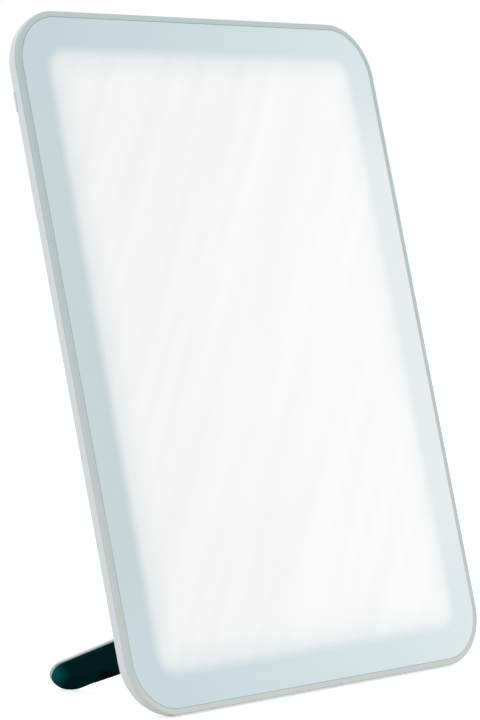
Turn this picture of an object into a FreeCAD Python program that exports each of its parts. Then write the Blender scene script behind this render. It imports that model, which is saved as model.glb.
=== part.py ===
import FreeCAD, Part
import math
import os

from FreeCAD import Vector

# Light therapy lamp: a slim edge-lit panel that leans back on one plug-in leg.
#
# Every piece is modelled with the panel upright: X runs to the right across the face, Y runs from
# the face to the back, Z runs up from the bottom edge, and X = 0 is the panel's middle.
# The finished pieces are then leaned back and set on the floor, which is Z = 0, with the origin
# under the middle of the whole lamp. All sizes are in millimetres and degrees.

os.makedirs("parts", exist_ok=True)

# ------------------------------------------------------------------ driving dimensions
# Panel
panel_width = 240.0
panel_height = 325.0
corner_radius = 27.0
lean = 14.5

# Named clearances
seat_gap = 0.2          # between pieces that are fastened in place
running_gap = 0.3       # between pieces that move past each other
lap_gap = 0.1           # between the frame's skirt and the housing's rabbet

# Front frame
lip_width = 2.8
lip_thickness = 0.6
lip_break = 0.2
frame_wall = 1.7
frame_depth = 2.2
frame_round = 0.7
skirt_thickness = 0.8
skirt_depth = 1.9

# Light stack, from the face to the back
face_setback = 0.15
diffuser_thickness = 2.0
film_thickness = 0.3
guide_thickness = 3.0
reflector_thickness = 0.3
chassis_thickness = 1.0
guide_margin = 17.0
guide_corner = 2.0
film_overhang = 1.5
edge_strip_thickness = 0.3
guide_block_rise = 96.0
guide_block_drop = 49.0
guide_block_length = 12.0

# Rear housing
housing_wall = 1.8
edge_inset = 18.0
edge_depth = 13.0
edge_round = 10.5
gusset_thickness = 1.2
gusset_foot = 8.5
gusset_top = 4.5
gusset_columns = 3
gusset_rows = 4
back_rib_height = 1.2
back_rib_thickness = 1.2
back_rib_pitch = 68.0

# Vents in the back
vent_length = 24.0
vent_width = 2.0
vent_pitch = 6.0
vent_count = 7
vent_drop = 63.0

# Chassis ears, bosses and screws
ear_reach = 9.5
ear_half = 5.0
ear_rise = 38.0
ear_drop = 73.0
boss_radius = 3.0
shank_radius = 1.25
screw_clearance = 0.15
head_radius = 2.3
head_height = 1.5
chassis_shank = 4.6
hem_height = 2.6

# Lighting along the left edge
bar_thickness = 1.5
bar_foot = 18.0
bar_foot_thickness = 2.0
led_board_thickness = 1.0
led_thickness = 0.7
led_gap = 0.3
led_width = 2.4
led_length = 3.6
led_pitch = 8.0
bar_end_margin = 3.0

# Driver board
driver_gap = 4.5
driver_width = 58.0
driver_bottom = 66.0
driver_height = 62.0
driver_board_thickness = 1.2
driver_standoff = 0.8
standoff_radius = 2.6
driver_screw_inset = 4.0
insulator_thickness = 0.25
insulator_margin = 2.0
board_head_height = 1.2
coil_side = 10.0
coil_height = 2.7
coil_column = 20.0
coil_levels = (20.0, 38.0)
chip_height = 1.5
filter_radius = 2.6
filter_pitch = 7.0
filter_column = 44.0
filter_level = 9.0
chip_capacitor_pitch = 4.6
connector_length = 9.0
connector_depth = 5.0
connector_height = 2.7

# Inlet in the right wall
jack_level = 54.0
jack_depth = 8.5
jack_width = 9.0
jack_height = 6.8
jack_length = 9.2
jack_nose_radius = 3.3
jack_nose_length = 1.4
jack_bore_radius = 2.8
jack_bore_depth = 9.0
jack_pin_radius = 1.0
jack_recess_radius = 4.0
jack_face = 7.0
pocket_wall = 1.2

# Power button in the left wall
button_drop = 41.0
button_depth = 8.8
button_length = 9.0
button_height = 4.6
button_proud = 0.35
button_travel = 0.8
button_flange = 0.7
button_flange_thickness = 1.0
button_face = 7.6
button_stem_radius = 1.6
button_stem_length = 0.7
plunger_radius = 1.0
plunger_length = 1.5
switch_side = 4.6
switch_thickness = 1.5
switch_board_thickness = 1.0
switch_board_length = 16.0
switch_board_front = 5.5
switch_board_height = 6.6
rail_thickness = 1.2

# Leg
leg_from_side = 51.6
leg_roll = 48.5
leg_splay = 12.9
leg_length = 80.8
leg_width = 16.6
leg_shell_thickness = 2.1
leg_tip_length = 11.4
leg_nose_radius = 7.0
leg_edge_break = 0.5
leg_start = 0.9
pad_thickness = 2.1
pad_side_margin = 0.45
pad_shift = 0.25
pad_tip_margin = 1.6
pad_start = 15.0
pad_edge_break = 0.3
heel_height = 0.6
heel_width = 6.5
heel_nose = 20.9
heel_nose_length = 12.0
heel_step = -0.1
heel_flare = 2.2
heel_edge_break = 0.4
collar_length = 20.0
collar_width = 10.6
collar_thickness = 2.2
collar_break = 0.6
plug_width = 13.0
plug_thickness = 3.6
plug_depth = 6.5
plug_round = 0.8

# Leg socket
socket_wall = 2.3
socket_floor = 0.8
socket_flange = 4.0
socket_flange_thickness = 1.4
clip_width = 3.0
clip_thickness = 1.2
clip_hook = 0.6
spring_length = 8.0
spring_width = 5.0
spring_thickness = 0.3
spring_pocket = 0.6

# Feet
foot_from_side = 40.0
foot_length = 30.0
foot_width = 6.5
foot_setback = 0.5
foot_proud = 0.45
foot_sunk = 1.0
foot_corner = 1.5
foot_break = 0.3

# Internal leads, flat with two cores
lead_width = 2.8
lead_thickness = 1.4
lead_turn = 6.0
board_tail = 3.4

# ------------------------------------------------------------------ worked-out places
half_width = panel_width / 2

skirt_inset = frame_wall - skirt_thickness
skirt_end = frame_depth + skirt_depth
shelf = skirt_end + lap_gap

diffuser_front = lip_thickness
diffuser_back = diffuser_front + diffuser_thickness
guide_front = diffuser_back + film_thickness
guide_back = guide_front + guide_thickness
chassis_front = guide_back + reflector_thickness
chassis_back = chassis_front + chassis_thickness

outer_back = frame_depth + edge_depth
inner_back = outer_back - housing_wall

guide_side = half_width - guide_margin
guide_bottom = guide_margin
guide_top = panel_height - guide_margin

led_face = guide_side + led_gap
led_seat = led_face + led_thickness
bar_face = led_seat + led_board_thickness
bar_side = bar_face + bar_thickness
bar_bottom = guide_bottom + bar_end_margin
bar_top = guide_top - bar_end_margin
chassis_side = guide_side + edge_strip_thickness + seat_gap

ear_x = chassis_side + ear_reach - ear_half / 2
ear_levels = (ear_rise, panel_height - ear_drop)

driver_left = -bar_side + bar_foot + driver_gap
button_level = panel_height - button_drop
vent_level = panel_height - vent_drop
leg_offset = leg_from_side - half_width
foot_offset = half_width - foot_from_side


# ------------------------------------------------------------------ shape helpers
def block(x0, x1, y0, y1, z0, z1):
    """Box between two corners."""
    return Part.makeBox(x1 - x0, y1 - y0, z1 - z0, Vector(x0, y0, z0))


def rod(radius, start, end):
    """Round bar from one point to another."""
    axis = end - start
    return Part.makeCylinder(radius, axis.Length, start, axis)


def line(start, end):
    """Straight edge."""
    return Part.LineSegment(start, end).toShape()


def oval_quarter(centre, long_axis, short_axis, small):
    """Quarter of an oval as two tangent arcs, from the tip of its long axis to that of its short one.

    The arc at the long axis's tip has the radius small; the other arc's radius follows from it.
    """
    a, b = long_axis.Length, short_axis.Length
    u, v = long_axis * (1 / a), short_axis * (1 / b)
    large = (a * a + b * b - 2 * a * small) / (2 * (b - small))
    small_centre = centre + u * (a - small)
    large_centre = centre - v * (large - b)
    joint_way = (small_centre - large_centre).normalize()
    joint = small_centre + joint_way * small
    small_middle = small_centre + (u + joint_way).normalize() * small
    large_middle = large_centre + (v + joint_way).normalize() * large
    return [
        Part.Arc(centre + long_axis, small_middle, joint).toShape(),
        Part.Arc(joint, large_middle, centre + short_axis).toShape(),
    ]


def rounded_rectangle(x0, x1, z0, z1, radius, y):
    """Upright rounded rectangle at depth y, as a wire."""
    r = radius
    right, top = Vector(r, 0, 0), Vector(0, 0, r)
    edges = []
    corners = (
        (Vector(x1, y, z0), right * -1, top),
        (Vector(x1, y, z1), top * -1, right * -1),
        (Vector(x0, y, z1), right, top * -1),
        (Vector(x0, y, z0), top, right),
    )
    previous_end = corners[-1][0] + corners[-1][2]
    for corner, before, after in corners:
        edges.append(line(previous_end, corner + before))
        centre = corner + before + after
        towards = (corner - centre).normalize()
        edges.append(Part.Arc(corner + before, centre + towards * r, corner + after).toShape())
        previous_end = corner + after
    return Part.Wire(edges)


def plate(x0, x1, z0, z1, radius, y0, y1):
    """Rounded rectangular plate between two depths."""
    face = Part.Face(rounded_rectangle(x0, x1, z0, z1, radius, y0))
    return face.extrude(Vector(0, y1 - y0, 0))


def slab(inset, y0, y1):
    """The panel's outline, moved inward by inset, between two depths."""
    side = half_width - inset
    return plate(-side, side, inset, panel_height - inset, corner_radius - inset, y0, y1)


def soft_block(inset, bevelled=False):
    """Slab from the frame's back edge to the back, with its whole rear edge rounded by an oval.

    One section of the edge is extruded along the four sides and revolved round the four corners.
    inset moves every outer face inward by the same distance. A bevelled block, for a hidden
    inside, has flats through points of the oval instead of its arcs.
    """
    reach = corner_radius - inset
    across, deep = edge_inset - inset, edge_depth - inset
    cx = half_width - corner_radius
    low, high = corner_radius, panel_height - corner_radius
    y_front, y_back = frame_depth, frame_depth + deep

    def section(centre, outward):
        """Section of the edge, standing on the corner's axis and facing outward."""
        root = centre + outward * (reach - across) + Vector(0, y_front, 0)
        rim = root + outward * across
        back = root + Vector(0, deep, 0)
        arcs = oval_quarter(root, outward * across, Vector(0, deep, 0), edge_round - inset)
        if bevelled:
            first, second = (arc.discretize(3) for arc in arcs)
            corners = [root] + first + second[1:]
            return Part.Face(Part.makePolygon(corners + corners[:1]))
        return Part.Face(Part.Wire([line(root, rim)] + arcs + [line(back, root)]))

    up, right = Vector(0, 0, 1), Vector(1, 0, 0)
    turns = (
        (Vector(cx, 0, high), up, Vector(cx, 0, low), right),
        (Vector(cx, 0, low), right, Vector(-cx, 0, low), up * -1),
        (Vector(-cx, 0, low), up * -1, Vector(-cx, 0, high), right * -1),
        (Vector(-cx, 0, high), right * -1, Vector(cx, 0, high), up),
    )
    solids = []
    for corner, turn_start, next_corner, side_outward in turns:
        solids.append(section(corner, turn_start).revolve(corner, Vector(0, 1, 0), 90))
        solids.append(section(corner, side_outward).extrude(next_corner - corner))
    core = slab(inset + across, y_front, y_back)
    return core.multiFuse(solids).removeSplitter()


def pill(length, height, x0, x1, y, z):
    """Bar along X whose ends are round: length runs in Z and height in Y."""
    r = height / 2
    run = length / 2 - r
    bar = block(x0, x1, y - r, y + r, z - run, z + run)
    ends = [rod(r, Vector(x0, y, z + s * run), Vector(x1, y, z + s * run)) for s in (-1, 1)]
    return bar.multiFuse(ends).removeSplitter()


def edges_at_depth(shape, y):
    """Edges that lie wholly in the plane of one depth."""
    found = []
    for edge in shape.Edges:
        box = edge.BoundBox
        if abs(box.YMin - y) < 1e-4 and abs(box.YMax - y) < 1e-4:
            found.append(edge)
    return found


def flat_lead(points):
    """Flat lead along straight runs in one plane of depth, joined by arcs.

    A last run that leaves the plane is folded over the lead's flat side.
    """
    def section(centre, way, wide):
        across, through = wide * (lead_width / 2), way.cross(wide) * (lead_thickness / 2)
        corners = [centre + across + through, centre - across + through,
                   centre - across - through, centre + across - through]
        return Part.Face(Part.makePolygon(corners + corners[:1]))

    runs = [(b - a) for a, b in zip(points, points[1:])]
    way = Vector(runs[0]).normalize()
    wide = way.cross(Vector(0, 1, 0))
    start, solids = points[0], []
    for i, corner in enumerate(points[1:-1]):
        turn = runs[i].getAngle(runs[i + 1])
        reach = min(lead_turn * math.tan(turn / 2), 0.45 * min(runs[i].Length, runs[i + 1].Length))
        axis = runs[i].cross(runs[i + 1]).normalize()
        enter = corner - way * reach
        centre = enter + axis.cross(way) * (reach / math.tan(turn / 2))
        solids.append(section(start, way, wide).extrude(enter - start))
        solids.append(section(enter, way, wide).revolve(centre, axis, math.degrees(turn)))
        swing = FreeCAD.Rotation(axis, math.degrees(turn))
        way, wide = swing.multVec(way), swing.multVec(wide)
        start = corner + way * reach
    solids.append(section(start, way, wide).extrude(points[-1] - start))
    return solids[0].multiFuse(solids[1:])


def spread(count, low, high):
    """Evenly spaced values with half a step left at each end."""
    step = (high - low) / count
    return [low + step * (i + 0.5) for i in range(count)]


# ------------------------------------------------------------------ front: frame and diffuser
def make_front_frame():
    """Rim with a thin lip over the diffuser and a skirt that laps inside the housing."""
    rim = slab(0, 0, frame_depth)
    rim = rim.makeFillet(frame_round, edges_at_depth(rim, 0))
    rim = rim.fuse(slab(skirt_inset, frame_depth, skirt_end))
    rim = rim.cut(slab(lip_width, 0, lip_thickness))
    rim = rim.cut(slab(frame_wall, lip_thickness, skirt_end)).removeSplitter()
    opening = Part.Face(rounded_rectangle(
        -half_width + lip_width, half_width - lip_width,
        lip_width, panel_height - lip_width, corner_radius - lip_width, 0,
    ))
    mouth = [edge for edge in edges_at_depth(rim, 0) if edge.distToShape(opening)[0] < 1e-4]
    return rim.makeChamfer(lip_break, mouth)


def make_diffuser():
    """Opal acrylic face: its rim sits behind the frame's lip and its middle is nearly flush."""
    rim = slab(frame_wall + seat_gap, diffuser_front, diffuser_back)
    middle = slab(lip_width + seat_gap, face_setback, diffuser_back)
    return rim.fuse(middle).removeSplitter()


def make_mid_frame():
    """White ring that backs the diffuser's edge, with an opening round the light stack."""
    ring = slab(frame_wall + seat_gap, diffuser_back, shelf)
    side = bar_side + running_gap
    low, high = guide_bottom - film_overhang - seat_gap, guide_top + film_overhang + seat_gap
    return ring.cut(plate(-side, side, low, high, guide_corner, diffuser_back, shelf))


# ------------------------------------------------------------------ light stack
def make_prism_film():
    side = guide_side + film_overhang
    low, high = guide_bottom - film_overhang, guide_top + film_overhang
    return plate(-side, side, low, high, guide_corner, diffuser_back, guide_front)


def make_light_guide():
    """Clear acrylic plate that spreads the light from its left edge."""
    return plate(-guide_side, guide_side, guide_bottom, guide_top, guide_corner,
                 guide_front, guide_back)


def make_edge_reflector():
    """White strip round the right, top and bottom edges of the light guide."""
    t = edge_strip_thickness
    outer = plate(-guide_side, guide_side + t, guide_bottom - t, guide_top + t,
                  guide_corner + t, guide_front, guide_back)
    inner = plate(-guide_side - guide_corner, guide_side, guide_bottom, guide_top,
                  guide_corner, guide_front, guide_back)
    open_left = block(-guide_side - t, -guide_side + guide_corner, guide_front, guide_back,
                      guide_bottom - t, guide_top + t)
    return outer.cut(inner).cut(open_left)


def make_reflector_sheet():
    return plate(-guide_side, guide_side, guide_bottom, guide_top, guide_corner,
                 guide_back, chassis_front)


def ear_places():
    """Centre of each chassis ear, with the direction in which it sticks out."""
    places = []
    for z in ear_levels:
        places.append((Vector(ear_x, 0, z), Vector(1, 0, 0)))
        places.append((Vector(-ear_x, 0, z), Vector(-1, 0, 0)))
    return places


def ear_block(centre, outward, grow):
    """Plate of one ear, from its screw back into the chassis, grown sideways by grow."""
    tip = centre + outward * (ear_half / 2)
    root = centre - outward * ear_reach
    across = Vector(outward.z, 0, outward.x) * (ear_half + grow)
    low, high = root - across, tip + across
    return block(min(low.x, high.x), max(low.x, high.x), chassis_front - grow, chassis_back + grow,
                 min(low.z, high.z), max(low.z, high.z))


def driver_screw_places():
    """Centres of the driver board's two screws, in opposite corners."""
    near = driver_screw_inset
    return [
        Vector(driver_left + near, 0, driver_bottom + near),
        Vector(driver_left + driver_width - near, 0, driver_bottom + driver_height - near),
    ]


def make_chassis():
    """Aluminium plate with screw ears, two folded hems and two stand-offs."""
    sheet = plate(-guide_side, chassis_side, guide_bottom, guide_top, guide_corner,
                  chassis_front, chassis_back)
    pieces = [ear_block(centre, outward, 0) for centre, outward in ear_places()]
    hem_side = guide_side - guide_margin
    for z in (guide_bottom, guide_top - chassis_thickness):
        pieces.append(block(-hem_side, hem_side, chassis_back, chassis_back + hem_height,
                            z, z + chassis_thickness))
    for place in driver_screw_places():
        base = place + Vector(0, chassis_back, 0)
        pieces.append(rod(standoff_radius, base, base + Vector(0, driver_standoff, 0)))
    sheet = sheet.multiFuse(pieces)
    through = Vector(0, chassis_back + driver_standoff, 0)
    for centre, _ in ear_places():
        sheet = sheet.cut(rod(shank_radius + screw_clearance, centre, centre + through))
    for place in driver_screw_places():
        sheet = sheet.cut(rod(shank_radius + screw_clearance, place, place + through))
    return sheet.removeSplitter()


def make_led_heat_bar():
    """Aluminium angle that carries the light board, notched where the chassis ears pass."""
    bar_back = chassis_back + bar_foot_thickness
    upright = block(-bar_side, -bar_face, guide_front, bar_back, bar_bottom, bar_top)
    foot = block(-bar_side, -bar_side + bar_foot, chassis_back, bar_back, bar_bottom, bar_top)
    angle = upright.fuse(foot).removeSplitter()
    for centre, outward in ear_places():
        if outward.x < 0:
            angle = angle.cut(ear_block(centre, outward, seat_gap).common(
                block(-half_width, -bar_face, 0, chassis_back, 0, panel_height)))
    return angle


def make_led_board():
    """Narrow board on the bar, with a tail below it that takes the lead."""
    return block(-bar_face, -led_seat, guide_front, chassis_front, bar_bottom - board_tail, bar_top)


def make_leds():
    """Row of light emitting diodes that face the light guide's left edge."""
    centre = (guide_front + guide_back) / 2
    count = int((bar_top - bar_bottom) / led_pitch)
    solids = []
    for z in spread(count, bar_bottom, bar_top):
        solids.append(block(-led_seat, -led_face, centre - led_width / 2, centre + led_width / 2,
                            z - led_length / 2, z + led_length / 2))
    return Part.makeCompound(solids)


def make_screw(seat, way, height, shank):
    """Screw turned from one profile: its head sits on seat and its shank runs along way."""
    side = Vector(0, 0, 1)
    profile = [
        seat - way * height,
        seat - way * height + side * head_radius,
        seat + side * head_radius,
        seat + side * shank_radius,
        seat + way * shank + side * shank_radius,
        seat + way * shank,
    ]
    return Part.Face(Part.makePolygon(profile + profile[:1])).revolve(seat, way, 360)


def make_chassis_screws():
    return Part.makeCompound([
        make_screw(centre + Vector(0, chassis_front, 0), Vector(0, 1, 0), head_height,
                   chassis_thickness + chassis_shank)
        for centre, _ in ear_places()
    ])


# ------------------------------------------------------------------ driver
driver_front = chassis_back + driver_standoff
driver_back = driver_front + driver_board_thickness
driver_right = driver_left + driver_width
driver_top = driver_bottom + driver_height


def make_board_insulator():
    """Sheet between the chassis and the driver board, pierced for the stand-offs."""
    m = insulator_margin
    sheet = block(driver_left - m, driver_right + m, chassis_back,
                  chassis_back + insulator_thickness, driver_bottom - m, driver_top + m)
    for place in driver_screw_places():
        base = place + Vector(0, chassis_back, 0)
        hole = rod(standoff_radius + seat_gap, base, base + Vector(0, insulator_thickness, 0))
        sheet = sheet.cut(hole)
    return sheet


def make_driver_board():
    board = block(driver_left, driver_right, driver_front, driver_back,
                  driver_bottom, driver_top)
    for place in driver_screw_places():
        base = place + Vector(0, driver_front, 0)
        hole = rod(shank_radius + screw_clearance, base,
                   base + Vector(0, driver_board_thickness, 0))
        board = board.cut(hole)
    return board


def on_driver(x, z, width, length, height):
    """Box part of the driver, centred at a place on the board's lower left corner."""
    cx, cz = driver_left + x, driver_bottom + z
    return block(cx - width / 2, cx + width / 2, driver_back, driver_back + height,
                 cz - length / 2, cz + length / 2)


def make_driver_coils():
    """Two shielded coils with cut corners."""
    coils = []
    for z in coil_levels:
        coil = on_driver(coil_column, z, coil_side, coil_side, coil_height)
        upright = [e for e in coil.Edges if abs(e.BoundBox.YLength - coil_height) < 1e-3]
        coils.append(coil.makeChamfer(coil_side / 6, upright))
    return Part.makeCompound(coils)


def make_driver_chips():
    """Controller, switching transistor and dimmer chip."""
    column = coil_column + 1.4 * coil_side
    return Part.makeCompound([
        on_driver(column, coil_levels[0], coil_side / 2, 0.6 * coil_side, chip_height),
        on_driver(column, coil_levels[1], coil_side / 2, coil_side / 2, chip_height),
        on_driver(filter_column, coil_levels[1], 0.4 * coil_side, coil_side / 2, chip_height),
    ])


def make_driver_capacitors():
    """Two round filter capacitors and a row of square ones."""
    solids = []
    for i in range(2):
        base = Vector(driver_left + filter_column - i * filter_pitch, driver_back,
                      driver_bottom + filter_level)
        solids.append(rod(filter_radius, base, base + Vector(0, coil_height, 0)))
    for i in range(4):
        column = coil_column + (i - 1) * chip_capacitor_pitch
        solids.append(on_driver(column, coil_levels[1] + 1.4 * coil_side, filter_radius,
                                1.2 * filter_radius, chip_height))
    return Part.makeCompound(solids)


lead_depth = chassis_back + bar_foot_thickness + lead_thickness / 2 + seat_gap
jack_lead_level = driver_bottom + 2 * connector_length
led_lead_level = driver_bottom + 2 * connector_length
switch_lead_column = driver_left + 1.5 * connector_length


def make_driver_connectors():
    """Three wire connectors: to the inlet, to the lights and to the switch."""
    y0, y1 = driver_back, driver_back + connector_height
    run, deep = connector_length / 2, connector_depth
    inlet = block(driver_right - deep, driver_right, y0, y1,
                  jack_lead_level - run, jack_lead_level + run)
    lights = block(driver_left, driver_left + deep, y0, y1,
                   led_lead_level - run, led_lead_level + run)
    switch = block(switch_lead_column - run, switch_lead_column + run, y0, y1,
                   driver_top - deep, driver_top)
    return Part.makeCompound([inlet, lights, switch])


def make_board_screws():
    """Screws that hold the driver board, with their heads towards the back."""
    return Part.makeCompound([
        make_screw(place + Vector(0, driver_back, 0), Vector(0, -1, 0), board_head_height,
                   driver_back - chassis_front)
        for place in driver_screw_places()
    ])


# ------------------------------------------------------------------ leg, built lying along +Y
def tongue(width, start, tip, nose_length, nose_radius, z0, z1):
    """Flat bar with an oval nose, along +Y, between two heights."""
    w = width / 2
    root = Vector(0, tip - nose_length, z0)
    along, across = Vector(0, nose_length, 0), Vector(w, 0, 0)
    left, right = Vector(-w, start, z0), Vector(w, start, z0)
    edges = oval_quarter(root, along, across, nose_radius)
    edges += oval_quarter(root, along, across * -1, nose_radius)
    edges += [line(root + across, right), line(right, left), line(left, root - across)]
    outline = Part.Wire(Part.__sortEdges__(edges))
    return Part.Face(outline).extrude(Vector(0, 0, z1 - z0))


def rim_edges(shape, z):
    """Edges that lie wholly in the plane of one height."""
    return [e for e in shape.Edges
            if abs(e.BoundBox.ZMin - z) < 1e-4 and abs(e.BoundBox.ZMax - z) < 1e-4]


def splayed(shape):
    """Tilt a leg piece away from the socket's direction, about its root."""
    shape.rotate(Vector(0, 0, 0), Vector(1, 0, 0), -leg_splay)
    return shape


sole = -(leg_shell_thickness + pad_thickness) / 2
pad_top = sole + pad_thickness
leg_top = pad_top + leg_shell_thickness


def make_leg_shell_flat():
    """Stiff tongue, collar and plug in one moulding; the socket's mouth is at Y = 0."""
    blade = tongue(leg_width, leg_start, leg_length, leg_tip_length, leg_nose_radius,
                   pad_top, leg_top)
    crown = [e for e in rim_edges(blade, leg_top) if e.BoundBox.YMax > leg_start + 1]
    blade = splayed(blade.makeChamfer(leg_edge_break, crown))
    collar_end = running_gap + collar_thickness
    collar = stadium_plate(collar_length, collar_width, collar_width / 2, running_gap, collar_end)
    collar = collar.makeChamfer(collar_break, edges_at_depth(collar, collar_end))
    plug = stadium_plate(plug_width, plug_thickness, plug_round, -plug_depth, running_gap)
    plug = plug.makeChamfer(plug_round / 2, edges_at_depth(plug, -plug_depth))
    return blade.multiFuse([collar, plug]).removeSplitter()


def make_leg_pad_flat():
    """Rubber sole with a raised heel that widens towards the root along its lower side."""
    width = leg_width - 2 * pad_side_margin
    pad = tongue(width, pad_start, leg_length - pad_tip_margin, leg_tip_length - pad_side_margin,
                 leg_nose_radius - pad_side_margin, sole, pad_top)
    pad = pad.makeChamfer(pad_edge_break, rim_edges(pad, sole))
    start, nose = pad_start + pad_thickness, leg_length - heel_nose
    side = width / 2
    bottom = sole - heel_height
    shoulder = Vector(side - heel_width, nose - heel_nose_length, bottom)
    belly = Vector(side - heel_width / 3, nose - heel_nose_length / 3, bottom)
    tip = Vector(side + heel_step, nose, bottom)
    root_in, root_out = Vector(shoulder.x, start, bottom), Vector(side + heel_flare, start, bottom)
    outline = Part.Wire([
        Part.Arc(shoulder, belly, tip).toShape(), line(tip, root_out), line(root_out, root_in),
        line(root_in, shoulder),
    ])
    heel = Part.Face(outline).extrude(Vector(0, 0, heel_height + pad_thickness / 2))
    heel = heel.makeChamfer(heel_edge_break, rim_edges(heel, bottom))
    pad = pad.fuse(heel).removeSplitter()
    pad.translate(Vector(pad_shift, 0, 0))
    return splayed(pad)


def stadium_plate(length, width, radius, y0, y1):
    """Rounded plate centred on the leg's axis: length runs in X and width in Z."""
    radius = min(radius, width / 2 - 1e-3)
    return plate(-length / 2, length / 2, -width / 2, width / 2, radius, y0, y1)


def lowest_when_leaned(shape):
    """Height of a shape's lowest point once the panel leans back."""
    leaned = shape.copy()
    leaned.rotate(Vector(0, 0, 0), Vector(1, 0, 0), -lean)
    return leaned.optimalBoundingBox(False).ZMin


tilt = math.radians(lean)
contact_y = frame_depth + edge_round * math.sin(tilt)
contact_z = edge_round * (1 - math.cos(tilt))
floor_height = contact_z * math.cos(tilt) - contact_y * math.sin(tilt) - foot_proud


def turned(shape):
    """Roll a piece about the socket's axis and set it on the back at the leg's side of the panel."""
    shape.rotate(Vector(0, 0, 0), Vector(0, 1, 0), leg_roll)
    shape.translate(Vector(leg_offset, outer_back, 0))
    return shape


leg_shell = turned(make_leg_shell_flat())
leg_pad = turned(make_leg_pad_flat())
leg_level = (floor_height - lowest_when_leaned(leg_shell.fuse(leg_pad))) / math.cos(tilt)
for piece in (leg_shell, leg_pad):
    piece.translate(Vector(0, 0, leg_level))


def at_socket(shape):
    """Place a piece of the socket, which shares the plug's axis and roll."""
    shape = turned(shape)
    shape.translate(Vector(0, 0, leg_level))
    return shape


# ------------------------------------------------------------------ leg socket
neck_length = plug_width + 2 * socket_wall
neck_width = plug_thickness + 2 * socket_wall
pocket_depth = plug_depth + running_gap
clip_place = neck_length / 2 + socket_flange / 2


def make_leg_socket():
    """Insert with a flange inside the back, a slot for the plug and a pocket for its spring."""
    bottom = -(pocket_depth + socket_floor)
    neck = stadium_plate(neck_length, neck_width, socket_wall, bottom, 0)
    flange = stadium_plate(neck_length + 2 * socket_flange, neck_width + socket_flange,
                           socket_wall, -housing_wall - socket_flange_thickness, -housing_wall)
    slot = stadium_plate(plug_width + 2 * seat_gap, plug_thickness + 2 * seat_gap,
                         plug_round + seat_gap, -pocket_depth, 0)
    body = neck.fuse(flange).cut(slot)
    for side in (-1, 1):
        x = side * clip_place
        reach, half = clip_thickness / 2 + lap_gap, clip_width / 2 + lap_gap
        body = body.cut(block(x - reach, x + reach, -housing_wall - socket_flange_thickness,
                              -housing_wall, -half, half))
    z0 = plug_thickness / 2 + seat_gap
    body = body.cut(block(-spring_length / 2 - lap_gap, spring_length / 2 + lap_gap,
                          -pocket_depth, -pocket_depth + spring_width + lap_gap,
                          z0 - lap_gap, z0 + spring_pocket))
    return at_socket(body.removeSplitter())


def make_leg_spring():
    """Leaf that bears on the plug's side."""
    z1 = plug_thickness / 2 + seat_gap + spring_pocket - lap_gap
    leaf = block(-spring_length / 2, spring_length / 2,
                 -pocket_depth, -pocket_depth + spring_width, z1 - spring_thickness, z1)
    return at_socket(leaf)


# ------------------------------------------------------------------ rear housing
button_side = half_width - button_face
jack_side = half_width - jack_face


def clear_of(value, keep_outs):
    """True if a rib at this place stays clear of every (place, half width) listed."""
    return all(abs(value - place) > half for place, half in keep_outs)


def gusset(side_sign, place, along_side):
    """Tapered web that stiffens the wall and carries the mid frame."""
    t = gusset_thickness / 2
    profile = [(skirt_inset, shelf), (gusset_top, shelf), (gusset_foot, outer_back),
               (skirt_inset, outer_back)]
    if along_side:
        corners = [Vector(side_sign * (half_width - a), y, place - t) for a, y in profile]
        sweep = Vector(0, 0, 2 * t)
    else:
        edge = panel_height if side_sign > 0 else 0
        corners = [Vector(place - t, y, edge - side_sign * a) for a, y in profile]
        sweep = Vector(2 * t, 0, 0)
    return Part.Face(Part.makePolygon(corners + corners[:1])).extrude(sweep)


def wall_gussets():
    """Gussets along the four walls, left out where a boss, the inlet or the button stands."""
    ears_side = [(z, boss_radius + 2 * gusset_thickness) for z in ear_levels]
    at_jack = [(jack_level, jack_width / 2 + pocket_wall + gusset_thickness)]
    at_button = [(button_level, switch_board_length / 2 + 2 * rail_thickness + gusset_thickness)]
    at_feet = [(s * foot_offset, foot_length / 2) for s in (-1, 1)]
    webs = []
    for z in spread(gusset_rows, corner_radius, panel_height - corner_radius):
        if clear_of(z, ears_side + at_jack):
            webs.append(gusset(1, z, True))
        if clear_of(z, ears_side + at_button):
            webs.append(gusset(-1, z, True))
    for x in spread(gusset_columns, -half_width + corner_radius, half_width - corner_radius):
        webs.append(gusset(1, x, False))
        if clear_of(x, at_feet):
            webs.append(gusset(-1, x, False))
    return webs


def back_ribs():
    """Low crossing ribs on the inside of the back."""
    y0, y1 = inner_back - back_rib_height, inner_back
    t = back_rib_thickness / 2
    side = half_width - edge_inset
    low, high = edge_inset, panel_height - edge_inset
    ribs = []
    for x in spread(int(2 * side / back_rib_pitch), -side, side):
        ribs.append(block(x - t, x + t, y0, y1, low, high))
    for z in spread(int((high - low) / back_rib_pitch), low, high):
        ribs.append(block(-side, side, y0, y1, z - t, z + t))
    return ribs


def vents():
    """Row of upright slots through the back."""
    slots = []
    run = vent_length / 2 - vent_width / 2
    for i in range(vent_count):
        x = (i - (vent_count - 1) / 2) * vent_pitch
        slot = block(x - vent_width / 2, x + vent_width / 2, inner_back - back_rib_height,
                     outer_back, vent_level - run, vent_level + run)
        for s in (-1, 1):
            start = Vector(x, inner_back - back_rib_height, vent_level + s * run)
            slot = slot.fuse(rod(vent_width / 2, start, Vector(x, outer_back, start.z)))
        slots.append(slot)
    return slots


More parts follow.
